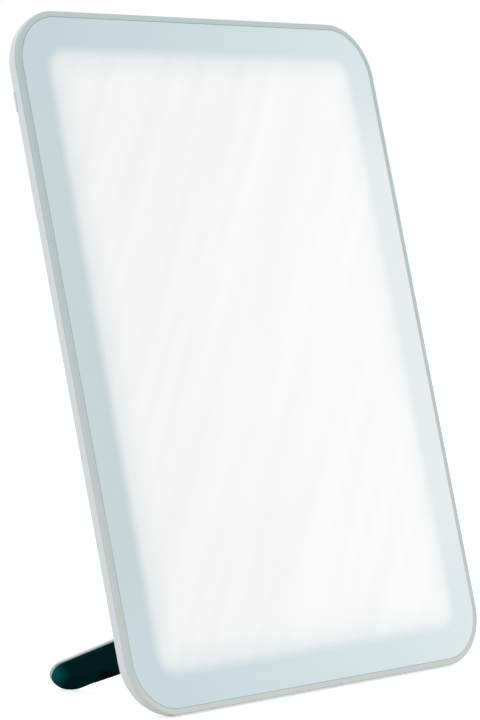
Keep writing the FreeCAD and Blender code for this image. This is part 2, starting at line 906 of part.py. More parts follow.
def foot_block(side_sign, grow):
    """One foot, grown sideways by grow.

    It is level below once the panel leans, and curved above, where its pocket ends.
    """
    x = side_sign * foot_offset
    front = contact_y + foot_setback - grow
    back = front + foot_width + 2 * grow
    sole_level = contact_z - foot_proud
    half = foot_length / 2 + grow
    body = block(x - half, x + half, front, back, sole_level, sole_level + foot_width)
    upright = [e for e in body.Edges if e.BoundBox.ZLength > foot_width / 2]
    body = body.makeFillet(foot_corner + grow, upright)
    body = body.makeChamfer(foot_break, rim_edges(body, sole_level))
    body.rotate(Vector(x, contact_y, contact_z), Vector(1, 0, 0), lean)
    return body.cut(soft_block(foot_sunk))


def make_rear_housing():
    """Soft-edged moulded tray with bosses, gussets, ribs, vents and seats for what it carries."""
    outer = soft_block(0)
    inner = soft_block(housing_wall, bevelled=True)
    additions = wall_gussets()
    for centre, _ in ear_places():
        start = centre + Vector(0, chassis_back, 0)
        additions.append(rod(boss_radius, start, Vector(centre.x, outer_back, centre.z)))
    additions += jack_pocket_walls() + button_guide_walls()
    shell = outer.cut(inner)
    shell = shell.multiFuse([web.common(outer) for web in additions])
    neck_hole = at_socket(stadium_plate(neck_length + 2 * lap_gap, neck_width + 2 * lap_gap,
                                        socket_wall + lap_gap, -housing_wall, 0))
    flange_room = at_socket(stadium_plate(
        neck_length + 2 * socket_flange + 2 * seat_gap, neck_width + socket_flange + 2 * seat_gap,
        socket_wall + seat_gap, -edge_depth, -housing_wall))
    ribs = [rib.cut(flange_room) for rib in back_ribs()]
    shell = shell.multiFuse(ribs)
    shell = shell.cut(slab(skirt_inset - lap_gap, frame_depth, shelf))
    cuts = [neck_hole] + vents() + [foot_block(s, lap_gap) for s in (-1, 1)]
    for centre, _ in ear_places():
        start = centre + Vector(0, chassis_back, 0)
        cuts.append(rod(shank_radius + lap_gap / 2, start,
                        start + Vector(0, chassis_shank + seat_gap, 0)))
    cuts += jack_pocket_room() + button_room()
    shell = shell.cut(cuts)
    return shell.multiFuse(socket_clips()).removeSplitter()


def socket_clips():
    """Two hooked clips of the back that hold the socket's flange."""
    clips = []
    for side in (-1, 1):
        inward, outward = -side * clip_thickness / 2, side * clip_thickness / 2
        seat = -housing_wall - socket_flange_thickness - lap_gap / 2
        tip = seat - 2 * clip_hook
        z = -clip_width / 2
        profile = [
            Vector(side * clip_place + dx, y, z) for dx, y in (
                (inward, -housing_wall / 2), (outward, -housing_wall / 2), (outward, seat),
                (outward + side * clip_hook, seat), (outward, tip), (inward, tip))
        ]
        face = Part.Face(Part.makePolygon(profile + profile[:1]))
        clips.append(at_socket(face.extrude(Vector(0, 0, clip_width))))
    return clips


def jack_pocket_walls():
    """Box of wall round the inlet, from the mid frame's shelf to the back."""
    half = jack_width / 2 + seat_gap + pocket_wall
    return [block(jack_side - jack_length, half_width, shelf + lap_gap, outer_back,
                  jack_level - half, jack_level + half)]


def jack_pocket_room():
    """Room for the inlet's body, its nose and the plug that goes in."""
    half = jack_width / 2 + seat_gap
    y0 = jack_depth - jack_height / 2 - seat_gap
    y1 = jack_depth + jack_height / 2 + seat_gap
    inside = jack_side - jack_length
    body = block(inside, jack_side + lap_gap, y0, y1, jack_level - half, jack_level + half)
    mouth = block(inside, jack_side + lap_gap, shelf, y0, jack_level - half, jack_level + half)
    axis = Vector(0, jack_depth, jack_level)
    recess_floor = jack_side + jack_nose_length + seat_gap
    nose = rod(jack_nose_radius + seat_gap, axis + Vector(jack_side, 0, 0),
               axis + Vector(half_width, 0, 0))
    recess = rod(jack_recess_radius, axis + Vector(recess_floor, 0, 0),
                 axis + Vector(half_width + 1, 0, 0))
    return [body, mouth, nose, recess]


def button_guide_walls():
    """Solid guide round the button's hole, with two rails that hold the switch board."""
    half = button_length / 2 + button_flange + rail_thickness
    y0 = shelf + lap_gap
    guide = block(-half_width, -button_side, y0, outer_back, button_level - half, button_level + half)
    walls = [guide]
    near = switch_board_length / 2 + seat_gap
    rail_end = -(switch_face - switch_board_thickness)
    for s in (-1, 1):
        z0, z1 = sorted((button_level + s * near, button_level + s * (near + rail_thickness)))
        walls.append(block(-half_width, rail_end, y0, outer_back, z0, z1))
    return walls


def button_room():
    """Hole for the button's cap, and the room its flange and stem move in."""
    beside = button_flange + running_gap
    room_end = stem_end - button_travel - running_gap
    return [
        pill(button_length + 2 * running_gap, button_height + 2 * running_gap,
             -half_width - 1, -button_side, button_depth, button_level),
        pill(button_length + 2 * beside, button_height + 2 * beside,
             -button_side, -room_end, button_depth, button_level),
    ]


# ------------------------------------------------------------------ inlet
def make_dc_jack():
    """Inlet with a round nose and a socket for the plug's barrel."""
    axis = Vector(0, jack_depth, jack_level)
    body = block(jack_side - jack_length, jack_side, jack_depth - jack_height / 2,
                 jack_depth + jack_height / 2, jack_level - jack_width / 2,
                 jack_level + jack_width / 2)
    nose_end = jack_side + jack_nose_length
    nose = rod(jack_nose_radius, axis + Vector(jack_side, 0, 0), axis + Vector(nose_end, 0, 0))
    bore = rod(jack_bore_radius, axis + Vector(nose_end - jack_bore_depth, 0, 0),
               axis + Vector(nose_end, 0, 0))
    return body.fuse(nose).cut(bore).removeSplitter()


def make_dc_jack_pin():
    """Centre contact of the inlet, with a tapered tip."""
    floor = jack_side + jack_nose_length - jack_bore_depth
    start = Vector(floor, jack_depth, jack_level)
    pin = rod(jack_pin_radius, start, start + Vector(jack_bore_depth - 1, 0, 0))
    tip = [e for e in pin.Edges if e.BoundBox.XMin > floor + 1]
    return pin.makeChamfer(jack_pin_radius / 2, tip)


# ------------------------------------------------------------------ power button and switch
flange_back = button_side - running_gap - button_flange_thickness
stem_end = flange_back - button_stem_length
switch_face = stem_end - button_travel - running_gap - switch_thickness


def make_power_button():
    """Cap that follows the wall's curve, with a flange inside that keeps it in."""
    proud = soft_block(-button_proud)
    cap = pill(button_length, button_height, -half_width - 1, -button_side + running_gap,
               button_depth, button_level).common(proud)
    flange = pill(button_length + 2 * button_flange, button_height + 2 * button_flange,
                  -button_side + running_gap, -flange_back, button_depth, button_level)
    axis = Vector(0, button_depth, button_level)
    stem = rod(button_stem_radius, axis + Vector(-flange_back, 0, 0), axis + Vector(-stem_end, 0, 0))
    return cap.multiFuse([flange, stem]).removeSplitter()


def make_switch_plunger():
    """Plunger of the switch, which the button's stem pushes."""
    axis = Vector(0, button_depth, button_level)
    return rod(plunger_radius, axis + Vector(-stem_end, 0, 0),
               axis + Vector(-stem_end + plunger_length, 0, 0))


def make_tact_switch():
    """Square switch body with a bore for its plunger."""
    x0, x1 = -switch_face - switch_thickness, -switch_face
    s = switch_side / 2
    body = block(x0, x1, button_depth - s, button_depth + s, button_level - s, button_level + s)
    axis = Vector(0, button_depth, button_level)
    bore = rod(plunger_radius + lap_gap, axis + Vector(x0, 0, 0), axis + Vector(x1, 0, 0))
    return body.cut(bore)


def make_switch_board():
    x0 = -switch_face
    half = switch_board_length / 2
    return block(x0, x0 + switch_board_thickness, switch_board_front,
                 switch_board_front + switch_board_height, button_level - half,
                 button_level + half)


# ------------------------------------------------------------------ leads
def make_jack_lead():
    """Lead from the inlet to the driver board."""
    end = Vector(driver_right, lead_depth, jack_lead_level)
    start = Vector(jack_side - jack_length, lead_depth, jack_level)
    third = (start.x - end.x) / 3
    return flat_lead([start, start - Vector(third, 0, 0), end + Vector(third, 0, 0), end])


def make_led_lead():
    """Lead from the driver board round the lower end of the heat bar to the light board."""
    start = Vector(driver_left, lead_depth, led_lead_level)
    below = bar_bottom - board_tail / 2
    x = -(bar_face + led_seat) / 2
    return flat_lead([
        start,
        Vector(x, lead_depth, led_lead_level),
        Vector(x, lead_depth, below),
        Vector(x, chassis_front, below),
    ])


def make_switch_lead():
    """Lead from the switch board down to the driver board."""
    start_x = -switch_face + switch_board_thickness
    start_z = button_level - switch_board_length / 4
    end = Vector(switch_lead_column, lead_depth, driver_top)
    return flat_lead([
        Vector(start_x, lead_depth, start_z),
        Vector(end.x, lead_depth, start_z),
        end,
    ])


def make_light_guide_blocks():
    """Silicone blocks beyond the light guide's right edge, which keep it against the lights."""
    blocks = []
    x0, x1 = guide_side + edge_strip_thickness, bar_side + running_gap
    half = guide_block_length / 2
    for z in (guide_block_rise, panel_height - guide_block_drop):
        blocks.append(block(x0, x1, guide_front, chassis_front, z - half, z + half))
    return Part.makeCompound(blocks)


# ------------------------------------------------------------------ the lamp
nodes = {
    "front_frame": make_front_frame(),
    "front_diffuser": make_diffuser(),
    "mid_frame": make_mid_frame(),
    "prism_film": make_prism_film(),
    "light_guide": make_light_guide(),
    "edge_reflector": make_edge_reflector(),
    "reflector_sheet": make_reflector_sheet(),
    "light_guide_blocks": make_light_guide_blocks(),
    "chassis": make_chassis(),
    "chassis_screws": make_chassis_screws(),
    "led_heat_bar": make_led_heat_bar(),
    "led_board": make_led_board(),
    "leds": make_leds(),
    "board_insulator": make_board_insulator(),
    "driver_board": make_driver_board(),
    "driver_coils": make_driver_coils(),
    "driver_chips": make_driver_chips(),
    "driver_capacitors": make_driver_capacitors(),
    "driver_connectors": make_driver_connectors(),
    "board_screws": make_board_screws(),
    "dc_jack": make_dc_jack(),
    "dc_jack_pin": make_dc_jack_pin(),
    "jack_lead": make_jack_lead(),
    "led_lead": make_led_lead(),
    "switch_lead": make_switch_lead(),
    "switch_board": make_switch_board(),
    "tact_switch": make_tact_switch(),
    "switch_plunger": make_switch_plunger(),
    "power_button": make_power_button(),
    "leg_socket": make_leg_socket(),
    "leg_spring": make_leg_spring(),
    "leg_shell": leg_shell,
    "leg_pad": leg_pad,
    "rear_housing": make_rear_housing(),
    "foot_left": foot_block(-1, 0),
    "foot_right": foot_block(1, 0),
}

for shape in nodes.values():
    shape.rotate(Vector(0, 0, 0), Vector(1, 0, 0), -lean)
    shape.translate(Vector(0, 0, -floor_height))

footprint = Part.makeCompound(list(nodes.values())).optimalBoundingBox(False)
centre_shift = Vector(0, -(footprint.YMin + footprint.YMax) / 2, 0)
for name, shape in nodes.items():
    shape.translate(centre_shift)
    shape.exportStep("parts/" + name + ".step")
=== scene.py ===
"""Finishes, small fittings, lights and camera for an upright light therapy lamp."""

import logging
import math
from collections.abc import Sequence
from dataclasses import dataclass
from enum import Enum
from typing import Protocol

import bmesh
import bpy
from mathutils import Euler, Matrix, Vector


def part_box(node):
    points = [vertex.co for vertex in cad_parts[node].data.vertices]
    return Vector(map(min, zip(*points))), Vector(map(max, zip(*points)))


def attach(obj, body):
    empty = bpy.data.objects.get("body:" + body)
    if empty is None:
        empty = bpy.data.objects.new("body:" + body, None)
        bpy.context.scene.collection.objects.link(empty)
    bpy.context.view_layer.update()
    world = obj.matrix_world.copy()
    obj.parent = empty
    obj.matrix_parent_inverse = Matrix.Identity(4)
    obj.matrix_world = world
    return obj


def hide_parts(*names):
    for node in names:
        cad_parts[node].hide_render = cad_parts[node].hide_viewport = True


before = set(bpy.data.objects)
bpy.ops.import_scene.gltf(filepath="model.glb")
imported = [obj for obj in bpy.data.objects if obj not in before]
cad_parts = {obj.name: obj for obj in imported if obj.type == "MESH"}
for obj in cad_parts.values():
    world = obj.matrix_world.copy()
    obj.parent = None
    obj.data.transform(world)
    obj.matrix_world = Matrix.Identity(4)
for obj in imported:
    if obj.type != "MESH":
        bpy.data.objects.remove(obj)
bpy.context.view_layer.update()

LOG = logging.getLogger("therapy_lamp")
MM = 0.001
WHITE = "#FFFFFF"
UPRIGHT = Matrix.Rotation(math.pi / 2, 4, "X")

Colour = tuple[float, float, float, float]
Point = tuple[float, float, float]
Pair = tuple[float, float]
Socket = bpy.types.NodeSocket
Inputs = dict[str | int, object]
Material = bpy.types.Material
Mesh = bpy.types.Mesh
Piece = bpy.types.Object
Shape = bmesh.types.BMesh
Ring = list[bmesh.types.BMVert]
Outlines = Sequence[Sequence[Point]]


def linear(code: str) -> Colour:
    """Turn a colour written as sRGB hex into linear values.

    Args:
        code: Six hex digits after a hash.

    Returns:
        Red, green, blue and alpha in linear light.
    """
    parts = [int(code[i : i + 2], 16) / 255 for i in (1, 3, 5)]
    red, green, blue = (p / 12.92 if p <= 0.04045 else ((p + 0.055) / 1.055) ** 2.4 for p in parts)
    return (red, green, blue, 1.0)


class Graph:
    """Node tree under construction.

    Attributes:
        tree: The tree.
    """

    def __init__(self, tree: bpy.types.NodeTree) -> None:
        """Start with the tree empty."""
        self.tree = tree
        tree.nodes.clear()

    def node(self, kind: str, inputs: Inputs | None = None, **settings: object) -> bpy.types.Node:
        """Add one node.

        Args:
            kind: Type name of the node.
            inputs: Constant, hex colour or socket of each input, by its name or place.
            **settings: Properties of the node itself.

        Returns:
            The new node.
        """
        made = self.tree.nodes.new(kind)
        for name, value in settings.items():
            setattr(made, name, value)
        for key, value in (inputs or {}).items():
            if isinstance(value, Socket):
                self.tree.links.new(value, made.inputs[key])
            else:
                made.inputs[key].default_value = linear(value) if isinstance(value, str) else value
        return made

    def number(self, operation: str, *inputs: float | Socket) -> Socket:
        """Result of an operation on numbers."""
        return self.node("ShaderNodeMath", dict(enumerate(inputs)), operation=operation).outputs[0]

    def vector(self, operation: str, *inputs: Sequence[float] | Socket) -> Socket:
        """Result of an operation on vectors, a number where it measures something."""
        made = self.node("ShaderNodeVectorMath", dict(enumerate(inputs)), operation=operation)
        return made.outputs["Value" if operation in ("DISTANCE", "LENGTH") else "Vector"]

    def split(self, vector: Socket) -> list[Socket]:
        """The X, Y and Z of a vector."""
        return list(self.node("ShaderNodeSeparateXYZ", {0: vector}).outputs)

    def ranged(self, value: Socket, span: Pair = (0.0, 1.0), to: Pair = (0.0, 1.0),
               kind: str = "LINEAR") -> Socket:
        """Stretch one range of a value to another.

        Args:
            value: The value.
            span: Its lower and upper end.
            to: What they become.
            kind: How it goes from one to the other.

        Returns:
            Socket of the new value.
        """
        return self.node("ShaderNodeMapRange", {0: value, 1: span[0], 2: span[1], 3: to[0],
                                                4: to[1]}, interpolation_type=kind).outputs[0]

    def eased(self, value: Socket, span_mm: Pair, to: Pair = (0.0, 1.0)) -> Socket:
        """Stretch a range given in millimetres, easing in and out."""
        return self.ranged(value, (span_mm[0] * MM, span_mm[1] * MM), to, "SMOOTHSTEP")

    def blend(self, amount: float | Socket, first: object, second: object) -> Socket:
        """Mix two numbers."""
        return self.node("ShaderNodeMix", {0: amount, 2: first, 3: second}).outputs[0]

    def tint(self, amount: float | Socket, first: object, second: object) -> Socket:
        """Mix two colours."""
        inputs = {0: amount, 6: first, 7: second}
        return self.node("ShaderNodeMix", inputs, data_type="RGBA").outputs[2]

    def ramp(self, amount: Socket, colours: Sequence[tuple[float, str]],
             kind: str = "LINEAR") -> Socket:
        """Colour that follows an amount.

        Args:
            amount: The amount, from 0 to 1.
            colours: Place and hex colour of each stop, in order.
            kind: How it goes from one to the next.

        Returns:
            Socket of the colour.
        """
        made = self.node("ShaderNodeValToRGB", {0: amount})
        made.color_ramp.interpolation = kind
        elements = made.color_ramp.elements
        while len(elements) < len(colours):
            elements.new(0.5)
        for element, (place, code) in zip(elements, colours, strict=True):
            element.position = place
            element.color = linear(code)
        return made.outputs[0]

    def noise(self, place: Socket, scale: float, detail: float) -> Socket:
        """Cloudy amount from 0 to 1."""
        inputs = {"Vector": place, "Scale": scale, "Detail": detail}
        return self.node("ShaderNodeTexNoise", inputs).outputs["Fac"]

    def bump(self, height: Socket, strength: float, depth_mm: float) -> Socket:
        """Normal of a surface with a fine relief."""
        inputs = {"Height": height, "Strength": strength, "Distance": depth_mm * MM}
        return self.node("ShaderNodeBump", inputs).outputs["Normal"]


class Paint(Graph):
    """Node material under construction.

    Attributes:
        material: The material.
    """

    def __init__(self, name: str) -> None:
        """Start an empty material of that name."""
        self.material = bpy.data.materials.new(name)
        self.material.use_nodes = True
        super().__init__(self.material.node_tree)

    def point(self) -> Socket:
        """Point on the object."""
        return self.node("ShaderNodeTexCoord").outputs["Object"]

    def surface(self, shader: Socket) -> Material:
        """Join a shader to the output and hand over the material."""
        self.node("ShaderNodeOutputMaterial", {"Surface": shader})
        return self.material

    def solid(self, inputs: Inputs) -> Material:
        """Finish the material with one principled shader."""
        return self.surface(self.node("ShaderNodeBsdfPrincipled", inputs).outputs["BSDF"])


class Finish(Protocol):
    """Anything that can make its own material."""

    def build(self) -> Material:
        """Make the material."""


class Grain(Enum):
    """Mould texture: size of a pit, drawn coarse enough to show, and its depth, in millimetres."""

    SPARK = (0.7, 0.02)
    SATIN = (0.35, 0.008)
    POLISHED = (6.0, 0.01)


@dataclass(frozen=True)
class Moulding:
    """Injection moulded plastic or rubber with a mould texture.

    Attributes:
        name: Common name and finish.
        colour: Main colour.
        shade: Colour in the slightly darker flow marks.
        roughness: Middle roughness.
        grain: Mould texture.
        sheen: Weight of a soft sheen, for rubber.
        painted_light_by_height: Heights above the floor in millimetres and the colour there, lowest
            first:
            painted light and shade that make a tall part lighter or darker from its foot to its
            top.
        painted_light_share: How far that painted colour replaces the main one.
        spread: Most that the roughness differs from its middle.
    """

    name: str
    colour: str
    shade: str
    roughness: float
    grain: Grain = Grain.SATIN
    sheen: float = 0.0
    painted_light_by_height: tuple[tuple[float, str], ...] = ()
    painted_light_share: float = 0.85
    spread: float = 0.05

    def build(self) -> Material:
        """Make the material."""
        paint = Paint(self.name)
        place = paint.point()
        flow = paint.noise(place, scale=9.0, detail=3.0)
        colour = paint.ramp(flow, [(0.35, self.shade), (0.65, self.colour)])
        # Painted light and shade: the colour follows the height above the floor.
        if self.painted_light_by_height:
            top = self.painted_light_by_height[-1][0]
            rise = paint.ranged(paint.split(place)[2], (0.0, top * MM))
            painted_light_by_height = paint.ramp(rise, [(height / top, code) for height, code in self.painted_light_by_height])
            colour = paint.tint(self.painted_light_share, colour, painted_light_by_height)
        pit_mm, depth_mm = self.grain.value
        pits = paint.noise(place, scale=1 / (pit_mm * MM), detail=2.0)
        ends = (self.roughness - self.spread, self.roughness + self.spread)
        return paint.solid({"Base Color": colour, "Roughness": paint.ranged(pits, to=ends),
                            "IOR": 1.5, "Sheen Weight": self.sheen,
                            "Normal": paint.bump(pits, strength=0.6, depth_mm=depth_mm)})


@dataclass(frozen=True)
class SheetMetal:
    """Rolled or drawn metal with faint lines along one direction.

    Attributes:
        name: Common name and finish.
        colour: Main colour.
        shade: Colour of the darker lines.
        roughness: Middle roughness.
        line_mm: Width of one line across the grain.
        run_mm: Length of one line along the grain.
        spread: Most that the roughness differs from its middle.
    """

    name: str
    colour: str
    shade: str
    roughness: float
    line_mm: float = 0.4
    run_mm: float = 25.0
    spread: float = 0.08

    def build(self) -> Material:
        """Make the material."""
        paint = Paint(self.name)
        across, along = 1 / (self.line_mm * MM), 1 / (self.run_mm * MM)
        drawn = paint.node("ShaderNodeMapping",
                           {"Vector": paint.point(), "Scale": (across, across, along)})
        lines = paint.noise(drawn.outputs[0], scale=1.0, detail=3.0)
        ends = (self.roughness - self.spread, self.roughness + self.spread)
        colour = paint.ramp(lines, [(0.3, self.shade), (0.7, self.colour)])
        return paint.solid({"Base Color": colour, "Metallic": 1.0,
                            "Roughness": paint.ranged(lines, to=ends),
                            "Normal": paint.bump(lines, strength=0.3, depth_mm=0.01)})


@dataclass(frozen=True)
class ClearPlastic:
    """Clear sheet or film, with fine parallel prisms where it has them.

    Attributes:
        name: Common name and finish.
        colour: Tint.
        roughness: Roughness of its faces.
        ior: Index of refraction.
        prism_mm: Spacing of its prisms divided by 2 pi, or 0 where it has none.
        haze: Most that the roughness rises.
        relief_mm: Depth of its relief where it has no prisms.
    """

    name: str
    colour: str
    roughness: float = 0.06
    ior: float = 1.49
    prism_mm: float = 0.0
    haze: float = 0.06
    relief_mm: float = 0.02

    def build(self) -> Material:
        """Make the material."""
        paint = Paint(self.name)
        place = paint.point()
        haze = height = paint.noise(place, scale=40.0, detail=2.0)
        depth_mm = self.relief_mm
        if self.prism_mm:
            # One wave of this texture is 2 pi / 20 of its scale's length.
            inputs = {"Vector": place, "Scale": 1 / (20 * self.prism_mm * MM)}
            height = paint.node("ShaderNodeTexWave", inputs, bands_direction="X",
                                wave_profile="TRI").outputs["Fac"]
            depth_mm = self.prism_mm / 2
        rough = paint.ranged(haze, to=(self.roughness, self.roughness + self.haze))
        return paint.solid({"Base Color": self.colour, "IOR": self.ior, "Transmission Weight": 1.0,
                            "Roughness": rough,
                            "Normal": paint.bump(height, strength=0.4, depth_mm=depth_mm)})


@dataclass(frozen=True)
class CircuitBoard:
    """Glass-epoxy board under solder mask, with tracks a little lighter than the rest.

    Attributes:
        name: Common name and finish.
        mask: Colour of the solder mask.
        track: Colour of the mask over copper.
        pitch_mm: Spacing of the tracks.
    """

    name: str
    mask: str
    track: str
    pitch_mm: float = 1.6

    def build(self) -> Material:
        """Make the material."""
        paint = Paint(self.name)
        upright = paint.node("ShaderNodeMapping",
                             {"Vector": paint.point(), "Rotation": (math.pi / 2, 0, 0)})
        tracks = paint.node("ShaderNodeTexBrick", {
            "Vector": upright.outputs[0], "Scale": 1 / (self.pitch_mm * MM), "Color1": self.mask,
            "Color2": self.mask, "Mortar": self.track, "Mortar Size": 0.06, "Brick Width": 5.0,
            "Row Height": 1.0})
        return paint.solid({
            "Base Color": tracks.outputs["Color"], "Roughness": 0.32, "IOR": 1.55,
            "Coat Weight": 0.3,
            "Normal": paint.bump(tracks.outputs["Fac"], strength=0.5, depth_mm=0.03)})


@dataclass(frozen=True)
class SoleRubber:
    """Matt soft rubber, with a painted highlight at its tip and painted shade near its root.

    Attributes:
        name: Common name and finish.
        deep: Colour of most of it.
        tip: Colour of the painted highlight at its tip.
        heel_shade: Colour of the painted shade at its darkest point.
        tip_mm: Place of the tip.
        heel_mm: Place of the darkest point.
        tip_reach_mm: Distances from the tip at which the highlight starts and ends to fade.
        heel_reach_mm: The same for the painted shade.
        pit_mm: Size of the mould's pits.
    """

    name: str
    deep: str = "#022225"
    tip: str = "#095D5C"
    heel_shade: str = "#010A0C"
    tip_mm: Point = (-88.0, 45.5, 9.0)
    heel_mm: Point = (-74.3, 18.0, 6.0)
    tip_reach_mm: Pair = (1.0, 12.5)
    heel_reach_mm: Pair = (3.5, 8.0)
    pit_mm: float = 0.4

    def build(self) -> Material:
        """Make the material."""
        paint = Paint(self.name)
        place = paint.point()
        colour: str | Socket = self.deep
        # Painted highlight round the tip, then painted shade round the darkest point near the root.
        for code, spot_mm, reach_mm in ((self.tip, self.tip_mm, self.tip_reach_mm),
                                        (self.heel_shade, self.heel_mm, self.heel_reach_mm)):
            away = paint.vector("DISTANCE", place, Vector(spot_mm) * MM)
            colour = paint.tint(paint.eased(away, reach_mm, (1.0, 0.0)), colour, code)
        pits = paint.noise(place, scale=1 / (self.pit_mm * MM), detail=2.0)
        return paint.solid({
            "Base Color": colour, "Roughness": paint.ranged(pits, to=(0.62, 0.74)), "IOR": 1.5,
            "Specular IOR Level": 0.005,
            "Normal": paint.bump(pits, strength=0.5, depth_mm=0.01)})


@dataclass(frozen=True)
class GlowingFace:
    """Opal acrylic lit from behind: duller over the frame's ledge, near white inside it.

    Attributes:
        name: Common name and finish.
        near_band: Colour of the duller band beside the light strip.
        far_band: Colour of that band on the far side.
        near_end: Colour of that band at the top and bottom, beside the strip.
        far_end: The same on the far side.
        lit: Colour of the lit area.
        near_glow: Light given off by the band beside the strip and at the top.
        low_glow: Light given off by the band at the bottom.
        far_glow: Light given off by the band on the far side.
        lit_glow: Light given off by the lit area beside the strip and on the far side.
        high_loss: Light that the lit area loses towards its top.
        high_reach_mm: Heights above the middle over which it loses it.
        end_reach_mm: Distances from the middle over which the ends' colour takes over.
        side_reach: The same for the far side's, as shares of half the width.
        half_width_mm: Half the width of the lit area, at half its light.
        half_height_mm: Half the height of the lit area.
        corner_mm: Radius of the lit area's corners.
        fade_mm: Distance over which the light rises, half of it outside the lit area.
        rise: How it rises over that distance.
        streak_slant: Lean of the faint streaks where the prism film bunches the light.
        streak_size: Width, depth and length of a streak.
        streak_glow: Most light that a streak adds or takes.
    """

    name: str
    near_band: str = "#C7D6D8"
    far_band: str = "#DDE3E5"
    near_end: str = "#C2D5DC"
    far_end: str = "#D9E7E9"
    lit: str = "#E8E8E8"
    near_glow: float = 0.045
    low_glow: float = 0.085
    far_glow: float = 0.14
    lit_glow: Pair = (0.17, 0.225)
    high_loss: float = 0.016
    high_reach_mm: Pair = (20.0, 115.0)
    end_reach_mm: Pair = (80.0, 150.0)
    side_reach: Pair = (-0.55, 1.05)
    half_width_mm: float = 101.0
    half_height_mm: float = 143.5
    corner_mm: float = 10.0
    fade_mm: float = 40.0
    rise: tuple[tuple[float, str], ...] = (
        (0.36, "#000000"), (0.44, "#424242"), (0.56, "#D0D0D0"), (0.7, "#EFEFEF"), (0.95, WHITE))
    streak_slant: float = 33.0
    streak_size: Point = (0.012, 1.0, 0.16)
    streak_glow: float = 0.022

    def inward(self, paint: Paint, place: Socket) -> Socket:
        """Distance into the lit area's rounded rectangle, negative outside it.

        Args:
            paint: The material.
            place: Point on the face, with X across and Z up from its middle.

        Returns:
            Socket that gives the distance in metres.
        """
        folded = paint.vector("ABSOLUTE", paint.vector("MULTIPLY", place, (1.0, 0.0, 1.0)))
        corner = Vector((self.half_width_mm - self.corner_mm, 0.0,
                         self.half_height_mm - self.corner_mm)) * MM
        beyond = paint.vector("SUBTRACT", folded, corner)
        round_part = paint.vector("LENGTH", paint.vector("MAXIMUM", beyond, (0.0, 0.0, 0.0)))
        x, _, z = paint.split(beyond)
        straight_part = paint.number("MINIMUM", paint.number("MAXIMUM", x, z), 0.0)
        reach = paint.number("ADD", round_part, straight_part)
        return paint.number("SUBTRACT", self.corner_mm * MM, reach)

    def build(self, upright: Matrix) -> Material:
        """Make the material.

        Args:
            upright: Takes a point of the object to the face's own upright, centred place.

        Returns:
            The material.
        """
        paint = Paint(self.name)
        place = paint.point()
        turned = paint.node("ShaderNodeMapping", {
            "Vector": place, "Location": upright.to_translation(),
            "Rotation": upright.to_euler()}).outputs[0]
        x, _, z = paint.split(turned)
        half_fade, half_width, half_height = (
            length * MM for length in (self.fade_mm / 2, self.half_width_mm, self.half_height_mm))
        depth = paint.ranged(self.inward(paint, turned), (-half_fade, half_fade))
        rise = paint.ramp(depth, self.rise, "CARDINAL")
        even = paint.ranged(x, (-half_width, half_width))
        across = paint.ranged(x, (self.side_reach[0] * half_width, self.side_reach[1] * half_width),
                              kind="SMOOTHSTEP")
        end = paint.eased(paint.number("ABSOLUTE", z), self.end_reach_mm)
        sides = paint.tint(across, self.near_band, self.far_band)
        ends = paint.tint(even, self.near_end, self.far_end)
        face = paint.tint(rise, paint.tint(end, sides, ends), self.lit)
        side_glow = paint.blend(across, self.near_glow, self.far_glow)
        end_glow = paint.ranged(z, (-half_height, half_height), (self.low_glow, self.near_glow))
        slanted = paint.node("ShaderNodeMapping", {
            "Vector": turned, "Rotation": (0.0, math.radians(self.streak_slant), 0.0),
            "Scale": self.streak_size}, vector_type="TEXTURE").outputs[0]
        streaks = paint.ranged(paint.noise(slanted, scale=1.0, detail=3.0), (0.3, 0.7),
                               (-self.streak_glow, self.streak_glow))
        high = paint.eased(z, self.high_reach_mm, (0.0, self.high_loss))
        less_glow = paint.number("SUBTRACT", paint.blend(even, *self.lit_glow), high)
        lit_glow = paint.number("ADD", less_glow, streaks)
        glow = paint.blend(rise, paint.blend(end, side_glow, end_glow), lit_glow)
        matt = paint.noise(place, scale=2200.0, detail=1.0)
        return paint.solid({
            "Base Color": face, "Roughness": 0.5, "IOR": 1.49, "Emission Color": WHITE,
            "Emission Strength": glow, "Normal": paint.bump(matt, strength=0.3, depth_mm=0.006)})


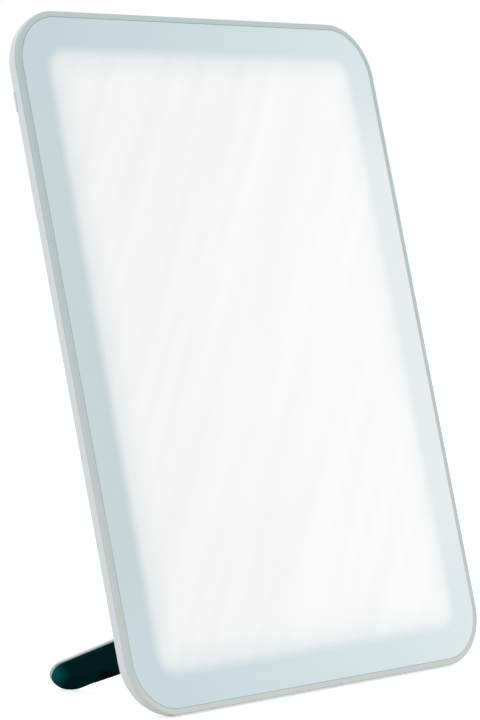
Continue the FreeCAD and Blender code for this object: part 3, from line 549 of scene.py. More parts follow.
class Pattern(Graph):
    """Geometry Nodes tree with named sizes, run once over the mesh of one item.

    Attributes:
        name: Name of the tree and of the piece that it makes.
        entry: Its input node.
        given: Value of each named size, by its socket's identifier.
    """

    def __init__(self, name: str) -> None:
        """Start a tree whose first input is the item to repeat."""
        super().__init__(bpy.data.node_groups.new(name, "GeometryNodeTree"))
        self.name = name
        self.tree.is_modifier = True
        for label, way in (("Item", "INPUT"), ("Result", "OUTPUT")):
            self.tree.interface.new_socket(label, in_out=way, socket_type="NodeSocketGeometry")
        self.entry = self.node("NodeGroupInput")
        self.given: dict[str, object] = {}

    def size(self, name: str, value: float | int | Point) -> Socket:
        """Add a named input to the tree.

        Args:
            name: What the size is.
            value: Its value: a whole number, a length in metres or a vector.

        Returns:
            Its socket inside the tree.
        """
        kind = {int: "NodeSocketInt", float: "NodeSocketFloat"}.get(type(value), "NodeSocketVector")
        socket = self.tree.interface.new_socket(name, in_out="INPUT", socket_type=kind)
        self.given[socket.identifier] = value
        return self.entry.outputs[name]

    def copies(self, points: Socket, scale: Point | Socket = (1.0, 1.0, 1.0)) -> Socket:
        """Put a copy of the item on every point."""
        return self.node("GeometryNodeInstanceOnPoints", {
            "Points": points, "Instance": self.entry.outputs["Item"], "Scale": scale}).outputs[0]

    def row(self, count: int, first: Sequence[float], step: Point) -> Socket:
        """Repeat the item in a straight row.

        Args:
            count: Number of copies.
            first: Place of the first.
            step: Way from each to the next.

        Returns:
            Socket of the copies.
        """
        line = self.node("GeometryNodeMeshLine", {
            "Count": self.size("Count", count), "Start Location": self.size("First", tuple(first)),
            "Offset": self.size("Step", step)})
        return self.copies(line.outputs[0])

    def grid(self, sides: Pair, counts: tuple[int, int]) -> Socket:
        """Points of a flat grid round the origin.

        Args:
            sides: Its lengths along X and Y.
            counts: Number of points along each.

        Returns:
            Socket of the points.
        """
        return self.node("GeometryNodeMeshGrid", {
            "Size X": self.size("Width", sides[0]), "Size Y": self.size("Height", sides[1]),
            "Vertices X": self.size("Columns", counts[0]),
            "Vertices Y": self.size("Rows", counts[1])}).outputs[0]

    def make(self, result: Socket, material: Material, item: Mesh, place: Matrix) -> Piece:
        """Finish the tree, run it and keep its result as a plain mesh.

        Args:
            result: Socket that holds the instances or the sweep.
            material: Material of the piece.
            item: Mesh of the item that is repeated.
            place: Takes the tree's axes to the model's.

        Returns:
            The piece, at the origin.
        """
        real = self.node("GeometryNodeRealizeInstances", {0: result})
        dressed = self.node("GeometryNodeSetMaterial", {0: real.outputs[0], "Material": material})
        self.node("NodeGroupOutput", {0: dressed.outputs[0]})
        holder = bpy.data.objects.new(self.name + "_pattern", item)
        bpy.context.scene.collection.objects.link(holder)
        modifier = holder.modifiers.new("pattern", "NODES")
        modifier.node_group = self.tree
        for identifier, value in self.given.items():
            modifier[identifier] = value
        graph = bpy.context.evaluated_depsgraph_get()
        mesh = bpy.data.meshes.new_from_object(holder.evaluated_get(graph), depsgraph=graph)
        holder.modifiers.clear()
        bpy.data.objects.remove(holder)
        return finished(self.name, mesh, place)


def finished(name: str, mesh: Mesh, place: Matrix) -> Piece:
    """Bake a mesh into its place and put it in the scene.

    Args:
        name: Name of the piece.
        mesh: Its mesh, with its material.
        place: Takes the mesh's axes to the model's.

    Returns:
        The piece, at the origin.
    """
    mesh.transform(place)
    mesh.update()
    piece = bpy.data.objects.new(name, mesh)
    bpy.context.scene.collection.objects.link(piece)
    LOG.info("%s: %d faces", name, len(mesh.polygons))
    return piece


def from_bmesh(name: str, shape: Shape) -> Mesh:
    """Turn an editable mesh into a plain one whose faces point outwards."""
    bmesh.ops.remove_doubles(shape, verts=shape.verts, dist=1e-7)
    bmesh.ops.recalc_face_normals(shape, faces=shape.faces)
    mesh = bpy.data.meshes.new(name)
    shape.to_mesh(mesh)
    shape.free()
    return mesh


def circles(profile: Sequence[Pair], steps: int = 24) -> Outlines:
    """Circles round the Y axis, from the radius and height of each."""
    turns = [2 * math.pi * i / steps for i in range(steps)]
    return [[(radius * math.cos(t), height, radius * math.sin(t)) for t in turns]
            for radius, height in profile]


def four_way(quarter: Sequence[Pair]) -> list[Pair]:
    """Outline made of four turns of its first quarter."""
    turns = ((1, 0), (0, 1), (-1, 0), (0, -1))
    return [(c * x - s * z, s * x + c * z) for c, s in turns for x, z in quarter]


def skin(shape: Shape, first: Ring, second: Ring) -> None:
    """Join two rings of the same number of vertices with four-sided faces."""
    for i, near in enumerate(first):
        after = (i + 1) % len(first)
        shape.faces.new((near, first[after], second[after], second[i]))


def loft(shape: Shape, outlines: Outlines) -> list[Ring]:
    """Make a ring of vertices of each outline, join each to the next and return them."""
    rings = [[shape.verts.new(point) for point in outline] for outline in outlines]
    for first, second in zip(rings, rings[1:], strict=False):
        skin(shape, first, second)
    return rings


def closed(name: str, outlines: Outlines) -> Mesh:
    """Mesh lofted through outlines, with both ends closed."""
    shape = bmesh.new()
    rings = loft(shape, outlines)
    for end in (rings[0], rings[-1]):
        shape.faces.new(end)
    return from_bmesh(name, shape)


def hollowed(name: str, outside: Outlines, inside: Outlines) -> Mesh:
    """Mesh with a blind hole in one end.

    Args:
        name: Name of the mesh.
        outside: Outlines from its closed end to the rim round the hole.
        inside: Outlines from the hole's mouth to its floor, of any number of points.

    Returns:
        The mesh.
    """
    shape = bmesh.new()
    outer, inner = loft(shape, outside), loft(shape, inside)
    edges = []
    for loop in (outer[-1], inner[0]):
        for i, near in enumerate(loop):
            pair = (near, loop[(i + 1) % len(loop)])
            edges.append(shape.edges.get(pair) or shape.edges.new(pair))
    bmesh.ops.triangle_fill(shape, edges=edges, use_beauty=True)
    for end in (outer[0], inner[-1]):
        shape.faces.new(end)
    return from_bmesh(name, shape)


@dataclass(frozen=True)
class Stance:
    """How the leaning panel stands, from the panel's own axes to the model's.

    The panel's X runs across it, Y from its face to its back, and Z up its face from the
    bottom edge.

    Attributes:
        lean: Angle by which it leans back, in degrees.
        back_mm: Place of the face's bottom edge along the model's Y.
        lift_mm: Height of that edge above the floor.
    """

    lean: float = 14.5
    back_mm: float = -49.2464
    lift_mm: float = 1.3353

    def place(self) -> Matrix:
        """Matrix from the panel's axes to the model's."""
        move = Matrix.Translation(Vector((0.0, self.back_mm, self.lift_mm)) * MM)
        return move @ Matrix.Rotation(math.radians(-self.lean), 4, "X")


@dataclass
class Fitting:
    """Something small that is fixed to the panel.

    Attributes:
        place: Takes the panel's axes to the model's.
    """

    place: Matrix

    def stood(self, middle_mm: Point) -> Matrix:
        """Place of a flat pattern stood up in the panel, from where its middle is."""
        move = Matrix.Translation(Vector(middle_mm) * MM)
        return self.place @ (move @ Matrix.Rotation(-math.pi / 2, 4, "X"))


@dataclass
class LightStack(Fitting):
    """Light emitting diodes along the light guide's left edge, and its printed dots.

    Attributes:
        count: Number of diodes.
        strip_mm: Lowest and highest end of the diode strip.
        strip_column_mm: Place across the panel of a diode's back.
        width_mm: Width of a diode, along the panel's depth.
        length_mm: Length of a diode, up the panel.
        package_mm: Steps of its dished package: how far its sides and its ends are moved in,
            and the height above its back.
        gel_mm: The same for the phosphor that fills the dish.
        middle_depth_mm: Depth of the light guide's middle.
        guide_half_mm: Half the light guide's width.
        guide_mm: Bottom and top of the light guide.
        guide_back_mm: Depth of the light guide's back.
        dot_pitch_mm: Spacing of the printed dots.
        dot_radius_mm: Radius of a middling dot.
        dot_growth: Size of the dots nearest to the strip and farthest from it.
        dot_spread: Most that a dot's size differs from its neighbours'.
        dot_taper: Radius of a dot's top, as a share of its foot's.
        ink_mm: Thickness of the ink, and how far it stays off the sheet behind it.
    """

    count: int = 35
    strip_mm: Pair = (20.0, 305.0)
    strip_column_mm: float = -104.0
    width_mm: float = 2.4
    length_mm: float = 3.6
    package_mm: tuple[Point, ...] = (
        (0.0, 0.0, 0.0), (0.0, 0.0, 0.7), (0.35, 0.4, 0.7), (0.6, 0.65, 0.315))
    gel_mm: tuple[Point, ...] = ((0.61, 0.66, 0.322), (0.41, 0.46, 0.63), (0.75, 0.8, 0.67))
    middle_depth_mm: float = 4.4
    guide_half_mm: float = 103.0
    guide_mm: Pair = (17.0, 308.0)
    guide_back_mm: float = 5.9
    dot_pitch_mm: float = 6.0
    dot_radius_mm: float = 1.1
    dot_growth: Pair = (0.45, 1.6)
    dot_spread: float = 0.06
    dot_taper: float = 0.9
    ink_mm: Pair = (0.03, 0.005)

    def build(self) -> None:
        """Make the diodes and the dots."""
        ceramic = Moulding("white PPA package", "#F1F1ED", "#E9E9E4", 0.4).build()
        phosphor = Moulding(
            "yellow phosphor gel", "#F2DF7C", "#E9D468", 0.2, Grain.POLISHED).build()
        ink = Moulding("white screen ink", "#FAFAF8", "#F1F1EE", 0.7).build()
        shells = self.along_strip("led_shells", self.package_mm, ceramic)
        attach(shells, "panel")
        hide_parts("leds")
        windows = self.along_strip("led_windows", self.gel_mm, phosphor)
        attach(windows, "panel")
        dots = self.dots(ink)
        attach(dots, "panel")

    def along_strip(self, name: str, steps_mm: Sequence[Point], material: Material) -> Piece:
        """Loft one part of a diode through its steps and repeat it along the strip."""
        outlines = []
        for side, end, out in steps_mm:
            x, y, z = out * MM, (self.width_mm / 2 - side) * MM, (self.length_mm / 2 - end) * MM
            outlines.append([(x, -y, -z), (x, y, -z), (x, y, z), (x, -y, z)])
        pattern = Pattern(name)
        low, high = self.strip_mm
        step = (high - low) / self.count
        first = Vector((self.strip_column_mm, self.middle_depth_mm, low + step / 2)) * MM
        copies = pattern.row(self.count, first, (0.0, 0.0, step * MM))
        return pattern.make(copies, material, closed(name, outlines), self.place)

    def dots(self, material: Material) -> Piece:
        """Dots on the guide's back that grow with their distance from the strip."""
        pattern = Pattern("guide_dots")
        low, high = self.guide_mm
        across = 2 * self.guide_half_mm - 2 * self.dot_pitch_mm
        tall = high - low - 2 * self.dot_pitch_mm
        columns, rows = (round(side / self.dot_pitch_mm) + 1 for side in (across, tall))
        grid = pattern.grid((across * MM, tall * MM), (columns, rows))
        column = pattern.split(pattern.node("GeometryNodeInputPosition").outputs[0])[0]
        growth = pattern.ranged(column, (-across / 2 * MM, across / 2 * MM), self.dot_growth)
        spread = pattern.node("FunctionNodeRandomValue", {
            "Seed": 7, 2: -self.dot_spread, 3: self.dot_spread}, data_type="FLOAT").outputs[1]
        copies = pattern.copies(grid, pattern.number("ADD", growth, spread))
        thick, clear = self.ink_mm
        radius = self.dot_radius_mm * MM
        item = closed("dot", circles([(radius, 0.0), (self.dot_taper * radius, thick * MM)], 8))
        item.transform(UPRIGHT)
        place = self.stood((0.0, self.guide_back_mm - thick - clear, (low + high) / 2))
        return pattern.make(copies, material, item, place)


@dataclass
class Screws(Fitting):
    """Pan head screws with a cross recess.

    Attributes:
        head_radius_mm: Radius of the head.
        head_profile: Radius and height of the head's corners, as shares of its own.
        shank_radius_mm: Radius over the thread.
        root_share: Radius at the thread's root, as a share of that.
        tip_share: Radius of the tip, as a share of the root's.
        thread_pitch_mm: Spacing of the thread's crests.
        recess: Half the length and half the width of the recess' arms, as shares of the
            head's radius.
        recess_floor: Size of the recess' floor as a share of its mouth's, and level of the
            floor as a share of the head's height.
        ear_column_mm: Distance from the middle to the screws that hold the chassis.
        ear_levels_mm: Heights of their lower and upper pair.
        chassis_front_mm: Depth of the chassis' front, where their heads sit.
        board_seat_mm: Depth of the driver board's back.
        board_places_mm: Places across and up of the driver board's screws.
    """

    head_radius_mm: float = 2.3
    head_profile: tuple[Pair, ...] = ((0.78, 1.0), (0.95, 0.72), (1.0, 0.4), (1.0, 0.0))
    shank_radius_mm: float = 1.25
    root_share: float = 0.8
    tip_share: float = 0.5
    thread_pitch_mm: float = 0.7
    recess: Pair = (0.55, 0.13)
    recess_floor: Pair = (0.6, 0.35)
    ear_column_mm: float = 110.5
    ear_levels_mm: Pair = (38.0, 252.0)
    chassis_front_mm: float = 6.2
    board_seat_mm: float = 9.2
    board_places_mm: tuple[Pair, Pair] = ((-80.0, 70.0), (-30.0, 124.0))

    def build(self) -> None:
        """Make both sets of screws."""
        steel = SheetMetal("zinc plated steel", "#B9BBBE", "#A6A8AB", 0.3, 0.15, 1.0).build()
        for piece, node in ((self.chassis_set(steel), "chassis_screws"),
                            (self.board_set(steel), "board_screws")):
            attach(piece, "panel")
            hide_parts(node)

    def screw(self, head_mm: float, shank_mm: float) -> Mesh:
        """One screw along +Y, with its head's seat at the origin.

        Args:
            head_mm: Height of the head.
            shank_mm: Length of the shank.

        Returns:
            Its mesh.
        """
        head, top = self.head_radius_mm * MM, -head_mm * MM
        crest, root = self.shank_radius_mm * MM, self.shank_radius_mm * self.root_share * MM
        half_pitch = self.thread_pitch_mm / 2 * MM
        profile = [(share * head, level * top) for share, level in self.head_profile]
        profile.append((root, 0.0))
        for i in range(int(shank_mm * MM / (2 * half_pitch))):
            profile += [(crest, (2 * i + 1) * half_pitch), (root, (2 * i + 2) * half_pitch)]
        profile.append((self.tip_share * root, shank_mm * MM))
        arm, half = (share * head for share in self.recess)
        cross = four_way([(arm, half), (half, half), (half, arm)])
        shrink, sink = self.recess_floor
        return hollowed("screw", circles(profile[::-1]), [
            [(size * x, level * top, size * z) for x, z in cross]
            for size, level in ((1.0, 1.0), (shrink, sink))])

    def chassis_set(self, material: Material) -> Piece:
        """Four screws in the chassis' ears, with their heads towards the front."""
        pattern = Pattern("chassis_fasteners")
        low, high = self.ear_levels_mm
        grid = pattern.grid((2 * self.ear_column_mm * MM, (high - low) * MM), (2, 2))
        item = self.screw(head_mm=1.5, shank_mm=5.6)
        item.transform(UPRIGHT)
        place = self.stood((0.0, self.chassis_front_mm, (low + high) / 2))
        return pattern.make(pattern.copies(grid), material, item, place)

    def board_set(self, material: Material) -> Piece:
        """Two screws in opposite corners of the driver board, with their heads to the back."""
        pattern = Pattern("board_fasteners")
        (x0, z0), (x1, z1) = self.board_places_mm
        first = Vector((x0, self.board_seat_mm, z0)) * MM
        copies = pattern.row(2, first, ((x1 - x0) * MM, 0.0, (z1 - z0) * MM))
        item = self.screw(head_mm=1.2, shank_mm=3.0)
        item.transform(Matrix.Rotation(math.pi, 4, "X"))
        return pattern.make(copies, material, item, self.place)


@dataclass
class Driver(Fitting):
    """Fittings of the driver board: coils with their cores, and legs of the chips.

    Attributes:
        board_back_mm: Depth of the board's back, on which they stand.
        coil_column_mm: Place of the coils across the panel.
        coil_levels_mm: Heights of the two coils.
        coil_side_mm: Side of a coil's shield.
        coil_height_mm: Height of a coil.
        coil_cut: Cut of the shield's corners, as a share of its side.
        brim_mm: Height of the shield's slanted brim.
        brim_share: Size of its top, as a share of its foot's.
        mouth: Radius of its mouth as a share of half its side, and level of the mouth's floor
            as a share of its height.
        core: Radius and height of a core's corners, as the same shares.
        chips_mm: Place across and up, width and length of each chip.
        leg_line_mm: Distance beyond the chip's side and height of each bend of a leg.
        leg_half_mm: Half a leg's width.
        leg_thick_mm: Thickness of a leg.
        leg_pitch_mm: Spacing of a chip's legs.
    """

    board_back_mm: float = 9.2
    coil_column_mm: float = -64.0
    coil_levels_mm: Pair = (86.0, 104.0)
    coil_side_mm: float = 10.0
    coil_height_mm: float = 2.7
    coil_cut: float = 1 / 6
    brim_mm: float = 0.25
    brim_share: float = 0.95
    mouth: Pair = (0.76, 0.6)
    core: tuple[Pair, ...] = ((0.7, 0.58), (0.7, 0.88), (0.6, 0.95), (0.3, 0.98), (0.05, 0.985))
    chips_mm: tuple[tuple[float, float, float, float], ...] = (
        (-50.0, 86.0, 5.0, 6.0), (-50.0, 104.0, 5.0, 5.0), (-40.0, 104.0, 4.0, 5.0))
    leg_line_mm: tuple[Pair, ...] = ((-0.1, 0.75), (0.3, 0.75), (0.5, 0.0), (1.0, 0.0))
    leg_half_mm: float = 0.2
    leg_thick_mm: float = 0.15
    leg_pitch_mm: float = 1.27

    def build(self) -> None:
        """Make the coils and the legs."""
        ferrite = Moulding("sintered ferrite", "#2B2C2E", "#232426", 0.6, Grain.SPARK).build()
        glue = Moulding("cast epoxy", "#4A4238", "#423A31", 0.35, Grain.POLISHED).build()
        tin = SheetMetal("tinned copper", "#C4C5C4", "#B2B3B2", 0.28, 0.1, 0.6).build()
        half, tall = self.coil_side_mm / 2 * MM, self.coil_height_mm * MM
        shields = self.pair("coil_shields", self.shield(half, tall), ferrite)
        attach(shields, "panel")
        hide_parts("driver_coils")
        dome = circles([(radius * half, height * tall) for radius, height in self.core])
        cores = self.pair("coil_cores", closed("coil_core", dome), glue)
        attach(cores, "panel")
        for number, chip in enumerate(self.chips_mm, 1):
            legs = self.legs(f"chip_legs_{number}", chip, tin)
            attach(legs, "panel")

    def shield(self, half: float, tall: float) -> Mesh:
        """Square shield of one coil with cut corners and a round mouth, standing on Y.

        Args:
            half: Half its side.
            tall: Its height.

        Returns:
            Its mesh.
        """
        near = half - self.coil_side_mm * self.coil_cut * MM
        square = four_way([(half, -near), (half, near)])
        steps = ((1.0, 0.0), (1.0, tall - self.brim_mm * MM), (self.brim_share, tall))
        radius, floor = self.mouth
        return hollowed(
            "coil_shield", [[(size * x, y, size * z) for x, z in square] for size, y in steps],
            circles([(radius * half, tall), (radius * half, floor * tall)]))

    def pair(self, name: str, item: Mesh, material: Material) -> Piece:
        """Repeat one item at both coils."""
        pattern = Pattern(name)
        low, high = self.coil_levels_mm
        first = Vector((self.coil_column_mm, self.board_back_mm, low)) * MM
        copies = pattern.row(2, first, (0.0, 0.0, (high - low) * MM))
        return pattern.make(copies, material, item, self.place)

    def legs(self, name: str, chip: tuple[float, float, float, float],
             material: Material) -> Piece:
        """Gull wing legs along both long sides of one chip.

        Args:
            name: Name of the piece.
            chip: Place across and up, width and length of the chip.
            material: Finish of the legs.

        Returns:
            The piece.
        """
        column, level, width, length = chip
        thick, half = self.leg_thick_mm * MM, self.leg_half_mm * MM
        bends = []
        for beyond, height in self.leg_line_mm:
            x, y = (width / 2 + beyond) * MM, height * MM
            bends.append([(x, y, -half), (x, y, half), (x, y + thick, half), (x, y + thick, -half)])
        pattern = Pattern(name)
        count = int(length / self.leg_pitch_mm)
        low = -(count - 1) / 2 * self.leg_pitch_mm * MM
        side = pattern.row(count, (0.0, 0.0, low), (0.0, 0.0, self.leg_pitch_mm * MM))
        other = pattern.node("GeometryNodeTransform", {0: side, "Rotation": (0.0, math.pi, 0.0)})
        both = pattern.node("GeometryNodeJoinGeometry", {0: side})
        pattern.tree.links.new(other.outputs[0], both.inputs[0])
        stand = Matrix.Translation(Vector((column, self.board_back_mm, level)) * MM)
        item = closed("chip_leg", bends)
        return pattern.make(both.outputs[0], material, item, self.place @ stand)


@dataclass
class GrooveShadeBead(Fitting):
    """Grey bead in the groove between the rim's lip and the face, whose grey is painted shade for
    the groove's dark line.

    Attributes:
        panel_mm: Width and height of the panel.
        corner_mm: Radius of the panel's corners.
        corner_steps: Number of steps round a corner.
        inset_mm: Distance from the panel's edge to the middle of the groove.
        bead_mm: Width of the bead across the groove, and its depth.
        front_mm: Depth of the bead's front behind the rim's.
    """

    panel_mm: Pair = (240.0, 325.0)
    corner_mm: float = 27.0
    corner_steps: int = 12
    inset_mm: float = 2.9
    bead_mm: Pair = (0.19, 0.24)
    front_mm: float = 0.35

    def build(self) -> None:
        """Sweep the bead round the opening."""
        # The bead's grey is painted shade: it draws the dark line of the groove.
        rubber = Moulding("grey silicone seal", "#BDCAC8", "#B5C2C0", 0.6).build()
        pattern = Pattern("groove_shade_bead")
        opening = [side - 2 * self.inset_mm for side in self.panel_mm]
        path, bead = (pattern.node("GeometryNodeCurvePrimitiveQuadrilateral", {
            "Width": pattern.size(f"{name} width", width * MM),
            "Height": pattern.size(f"{name} height", height * MM)}).outputs[0]
            for name, (width, height) in (("Opening", opening), ("Bead", self.bead_mm)))
        rounded = pattern.node("GeometryNodeFilletCurve", {
            0: path, "Count": pattern.size("Corner steps", self.corner_steps),
            "Radius": pattern.size("Corner radius", (self.corner_mm - self.inset_mm) * MM),
        }, mode="POLY")
        level = pattern.node("GeometryNodeSetCurveNormal", {0: rounded.outputs[0]}, mode="Z_UP")
        swept = pattern.node("GeometryNodeCurveToMesh",
                             {0: level.outputs[0], 1: bead, "Fill Caps": False})
        place = self.stood((0.0, self.front_mm + self.bead_mm[1] / 2, self.panel_mm[1] / 2))
        seal = pattern.make(swept.outputs[0], rubber, bpy.data.meshes.new("path"), place)
        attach(seal, "panel")


@dataclass
class ButtonSeal(Fitting):
    """Thin pale skirt that fills the gap round the power button.

    Attributes:
        wall_mm: Place of the side wall across the panel, before its curve.
        outside_mm: Distance from that wall to a point well outside it.
        depth_mm: Depth of the button's middle.
        level_mm: Height of the button's middle.
        length_mm: Length of the button's cap.
        height_mm: Height of the cap, which is also the depth of its pill shape.
        gap_mm: Gap between the cap and the wall.
        play_mm: What is left of the gap beside the cap.
        sunk_mm: Depth of the skirt's front below the wall's skin.
        thickness_mm: Length of the skirt into the wall.
        steps: Steps along each of the pill's round ends.
    """

    wall_mm: float = -120.0
    outside_mm: float = 20.0
    depth_mm: float = 8.8
    level_mm: float = 284.0
    length_mm: float = 9.0
    height_mm: float = 4.6
    gap_mm: float = 0.3
    play_mm: float = 0.04
    sunk_mm: float = 0.08
    thickness_mm: float = 1.0
    steps: int = 12

    def outline(self, grow: float) -> list[Pair]:
        """Depth and height of points round the pill, moved outwards by an amount."""
        radius = self.height_mm / 2
        straight = self.length_mm / 2 - radius
        points = []
        for end in (1, -1):
            for i in range(self.steps + 1):
                turn = math.pi * i / self.steps + (0 if end == 1 else math.pi)
                points.append((self.depth_mm + (radius + grow) * math.cos(turn),
                               self.level_mm + end * straight + (radius + grow) * math.sin(turn)))
        return points

    def skin_at(self, depth: float, level: float) -> float:
        """How far across the panel the housing's skin lies, at a depth and height in its wall."""
        start = self.place @ (Vector((self.wall_mm - self.outside_mm, depth, level)) * MM)
        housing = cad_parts["rear_housing"]
        found, spot, _, _ = housing.ray_cast(start, Vector((1.0, 0.0, 0.0)))
        return (self.place.inverted() @ spot).x if found else self.wall_mm * MM

    def build(self) -> None:
        """Make the skirt."""
        skins = [self.skin_at(depth, level) for depth, level in self.outline(2 * self.gap_mm)]
        near, far = self.play_mm, self.gap_mm + self.play_mm
        shape = bmesh.new()
        rings = loft(shape, [
            [(x + sunk * MM, depth * MM, level * MM)
             for x, (depth, level) in zip(skins, self.outline(grow), strict=True)]
            for grow, sunk in ((near, self.thickness_mm), (near, self.sunk_mm),
                               (far, self.sunk_mm), (far, self.thickness_mm))])
        skin(shape, rings[-1], rings[0])
        mesh = from_bmesh("button_skirt", shape)
        mesh.materials.append(Moulding("pale silicone skirt", "#D5DCDD", "#CFD6D7", 0.6).build())
        skirt = finished("button_skirt", mesh, self.place)
        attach(skirt, "panel")


@dataclass
class Studio:
    """Floor, backdrop light, soft lamps and camera.

    Attributes:
        camera_place: Where the camera stands, in metres.
        azimuth: Direction it looks from, in degrees, 0 looking along +Y.
        pitch: How far it looks up, in degrees.
        roll: Turn about its own view, in degrees.
        lens: Focal length in millimetres.
        sensor: Width of its sensor in millimetres.
        shift: Upward shift of the frame.
        world_light: Strength of the world as a light.
        floor_reach: Half the floor's side, in metres.
        floor_glow: Light that the floor gives off where it is seen.
        lamps: Name, place, side and power of each lamp: a key from the left front, a fill, a
            top and a back light.
        aim: Point that the lamps are turned to.
    """

    camera_place: Point = (-1.01714, -0.980004, 0.239605)
    azimuth: float = -45.9424
    pitch: float = -4.3896
    roll: float = -0.2372
    lens: float = 148.839
    sensor: float = 36.0
    shift: float = 0.0642
    world_light: float = 0.62
    floor_reach: float = 12.0
    floor_glow: float = 0.62
    lamps: tuple[tuple[str, Point, float, float], ...] = (
        ("key", (-2.2, -0.9, 1.3), 1.6, 20.0), ("fill", (1.8, -1.6, 0.9), 1.6, 9.0),
        ("top", (0.0, 0.7, 2.0), 1.8, 8.0), ("back", (1.1, 2.1, 1.0), 1.6, 6.0))
    aim: Point = (0.0, 0.0, 0.15)

    def build(self) -> None:
        """Make the whole studio."""
        bpy.context.scene.view_settings.view_transform = "Standard"
        self.make_camera()
        self.make_world()
        self.make_floor()
        self.make_lamps()

    def make_camera(self) -> None:
        """Place the camera and make it the scene's."""
        data = bpy.data.cameras.new("camera")
        data.lens = self.lens
        data.sensor_width = self.sensor
        data.shift_y = self.shift
        camera = bpy.data.objects.new("camera", data)
        level = Euler((math.radians(90 + self.pitch), 0, math.radians(self.azimuth)), "XYZ")
        turn = level.to_matrix() @ Matrix.Rotation(math.radians(self.roll), 3, "Z")
        camera.matrix_world = Matrix.Translation(self.camera_place) @ turn.to_4x4()
        bpy.context.scene.collection.objects.link(camera)
        bpy.context.scene.camera = camera

    def seen(self, graph: Graph) -> Socket:
        """1 for what the camera sees, at first hand, in a reflection or through something."""
        path = graph.node("ShaderNodeLightPath").outputs
        direct = graph.number("MAXIMUM", path["Is Camera Ray"], path["Is Glossy Ray"])
        return graph.number("MAXIMUM", direct, path["Is Transmission Ray"])

    def make_world(self) -> None:
        """White to the eye and in reflections, and a softer even light on the object."""
        world = bpy.data.worlds.new("studio")
        bpy.context.scene.world = world
        world.use_nodes = True
        graph = Graph(world.node_tree)
        light, backdrop = (
            graph.node("ShaderNodeBackground", {"Color": WHITE, "Strength": strength}).outputs[0]
            for strength in (self.world_light, 1.0))
        mix = graph.node("ShaderNodeMixShader", {0: self.seen(graph), 1: light, 2: backdrop})
        graph.node("ShaderNodeOutputWorld", {"Surface": mix.outputs[0]})

    def make_floor(self) -> None:
        """Wide pale floor that reads white to the eye but keeps the lamp's shadow."""
        mesh = bpy.data.meshes.new("floor")
        reach = self.floor_reach
        mesh.from_pydata([(-reach, -reach, 0), (reach, -reach, 0), (reach, reach, 0),
                          (-reach, reach, 0)], [], [(0, 1, 2, 3)])
        floor = bpy.data.objects.new("floor", mesh)
        bpy.context.scene.collection.objects.link(floor)
        paint = Paint("matt paper sweep")
        lift = paint.number("MULTIPLY", self.seen(paint), self.floor_glow)
        paper = paint.node("ShaderNodeBsdfDiffuse", {"Color": "#E4E4E4"})
        glow = paint.node("ShaderNodeEmission", {"Color": WHITE, "Strength": lift})
        both = paint.node("ShaderNodeAddShader", {0: paper.outputs[0], 1: glow.outputs[0]})
        mesh.materials.append(paint.surface(both.outputs[0]))

    def make_lamps(self) -> None:
        """Hang the large soft lamps."""
        for name, place, size, power in self.lamps:
            data = bpy.data.lights.new(name, "AREA")
            data.shape = "SQUARE"
            data.size = size
            data.energy = power
            lamp = bpy.data.objects.new(name, data)
            lamp.location = place
            way = Vector(self.aim) - lamp.location
            lamp.rotation_euler = way.to_track_quat("-Z", "Y").to_euler()
            bpy.context.scene.collection.objects.link(lamp)


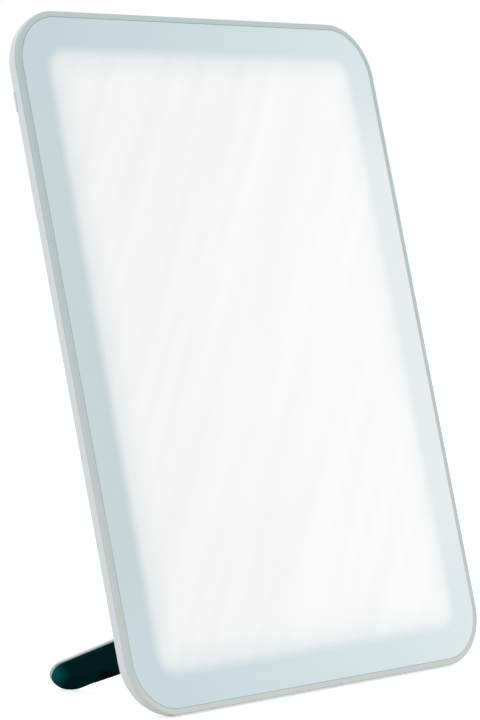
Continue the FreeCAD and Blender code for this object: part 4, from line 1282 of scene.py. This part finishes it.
FINISHES: tuple[tuple[Finish, list[str]], ...] = (
    # The rim's colours by height are painted light and shade: lightest at its foot, darkest just
    # below its top.
    (Moulding("grey-green ABS rim", "#BCC8C6", "#B8C4C2", 0.42, painted_light_by_height=(
        (4.0, "#D4D9D3"), (22.0, "#C6CECB"), (110.0, "#C0CAC8"), (296.0, "#B0C4C3"),
        (316.0, "#BECFCD"))), ["front_frame"]),
    # The housing's colours by height are painted shade: a little darker and greyer near the floor.
    (Moulding("pale ABS housing", "#DAE1E2", "#D7DEDF", 0.5, Grain.SPARK, painted_light_by_height=(
        (10.0, "#D7DADA"), (60.0, "#D9DEDF"), (200.0, "#DAE1E2"))), ["rear_housing"]),
    (Moulding("pale ABS button", "#D0D7D8", "#CCD4D5", 0.35), ["power_button"]),
    (Moulding("pale ABS leg", "#CBD4D4", "#C6D0D0", 0.4), ["leg_shell"]),
    (SoleRubber("dark teal rubber"), ["leg_pad"]),
    (Moulding("dark ABS socket", "#353B3D", "#303638", 0.45), ["leg_socket"]),
    (Moulding("pale grey rubber", "#C6CDCE", "#C0C8C9", 0.7, sheen=0.2),
     ["foot_left", "foot_right"]),
    (Moulding("black PBT inlet", "#17191A", "#131516", 0.4), ["dc_jack", "tact_switch"]),
    (Moulding("white polycarbonate", "#F0F0EE", "#ECECEA", 0.4),
     ["mid_frame", "edge_reflector", "reflector_sheet"]),
    (Moulding("white silicone", "#E4E4E0", "#DEDEDA", 0.6), ["light_guide_blocks"]),
    (Moulding("ivory nylon", "#E9E3D2", "#E3DCCA", 0.45), ["driver_connectors", "switch_plunger"]),
    (Moulding("black epoxy", "#1B1C1E", "#161719", 0.5), ["driver_coils", "driver_chips"]),
    (Moulding("black PVC sleeve", "#191A1C", "#141517", 0.35, Grain.POLISHED),
     ["jack_lead", "led_lead", "switch_lead"]),
    (Moulding("capacitor sleeve", "#6E5A3C", "#675437", 0.3, Grain.POLISHED),
     ["driver_capacitors"]),
    (Moulding("warm phosphor", "#EFE3A6", "#E8DB98", 0.35, Grain.POLISHED), ["leds"]),
    (SheetMetal("mill finish aluminium", "#C9CCCE", "#BEC2C4", 0.4), ["chassis", "led_heat_bar"]),
    (SheetMetal("zinc plated steel", "#B4B6B9", "#A3A5A8", 0.32, 0.15, 1.0),
     ["chassis_screws", "board_screws"]),
    (SheetMetal("spring steel", "#A9ABAD", "#9A9C9E", 0.3, 0.2, 6.0), ["leg_spring"]),
    (SheetMetal("plated brass", "#D9C58A", "#CDB878", 0.25, 0.2, 2.0), ["dc_jack_pin"]),
    (ClearPlastic("polished acrylic", "#F4F8F9"), ["light_guide"]),
    (ClearPlastic("prism film", "#F2F5F6", 0.2, 1.58, 0.6), ["prism_film"]),
    (ClearPlastic("insulating film", "#DDE2D6", 0.3, 1.58), ["board_insulator"]),
    (CircuitBoard("green board", "#1A5236", "#256B48"), ["driver_board", "switch_board"]),
    (CircuitBoard("white board", "#EEEEEA", "#E2E2DC"), ["led_board"]),
)


@dataclass
class Lamp:
    """The whole lamp: a finish for each of its parts, and its small fittings.

    Attributes:
        stance: How its panel stands.
    """

    stance: Stance = Stance()

    def face_place(self) -> Matrix:
        """Matrix that stands the leaning face upright with its middle at the origin."""
        low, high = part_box("front_diffuser")
        middle = (Vector(low) + Vector(high)) / 2
        turn = Matrix.Rotation(math.radians(self.stance.lean), 4, "X")
        return turn @ Matrix.Translation(-middle)

    def dress(self) -> None:
        """Give every part its finish."""
        glow = GlowingFace("opal acrylic").build(self.face_place())
        self.put(glow, ["front_diffuser"])
        for finish, nodes in FINISHES:
            self.put(finish.build(), nodes)

    def fit_out(self) -> None:
        """Add the small fittings that are modelled here alone."""
        place = self.stance.place()
        for fitting in (LightStack, Screws, Driver, GrooveShadeBead, ButtonSeal):
            fitting(place).build()

    def put(self, material: Material, nodes: Sequence[str]) -> None:
        """Give one material to several parts.

        Args:
            material: Finish to use.
            nodes: Names of the parts.
        """
        for name in nodes:
            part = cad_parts[name]
            part.data.materials.clear()
            part.data.materials.append(material)
            LOG.info("%s: %s", name, material.name)


def main() -> None:
    """Build the studio and dress the lamp."""
    logging.basicConfig(level=logging.INFO, format="%(message)s")
    Studio().build()
    lamp = Lamp()
    lamp.dress()
    lamp.fit_out()


if __name__ == "__main__":
    main()
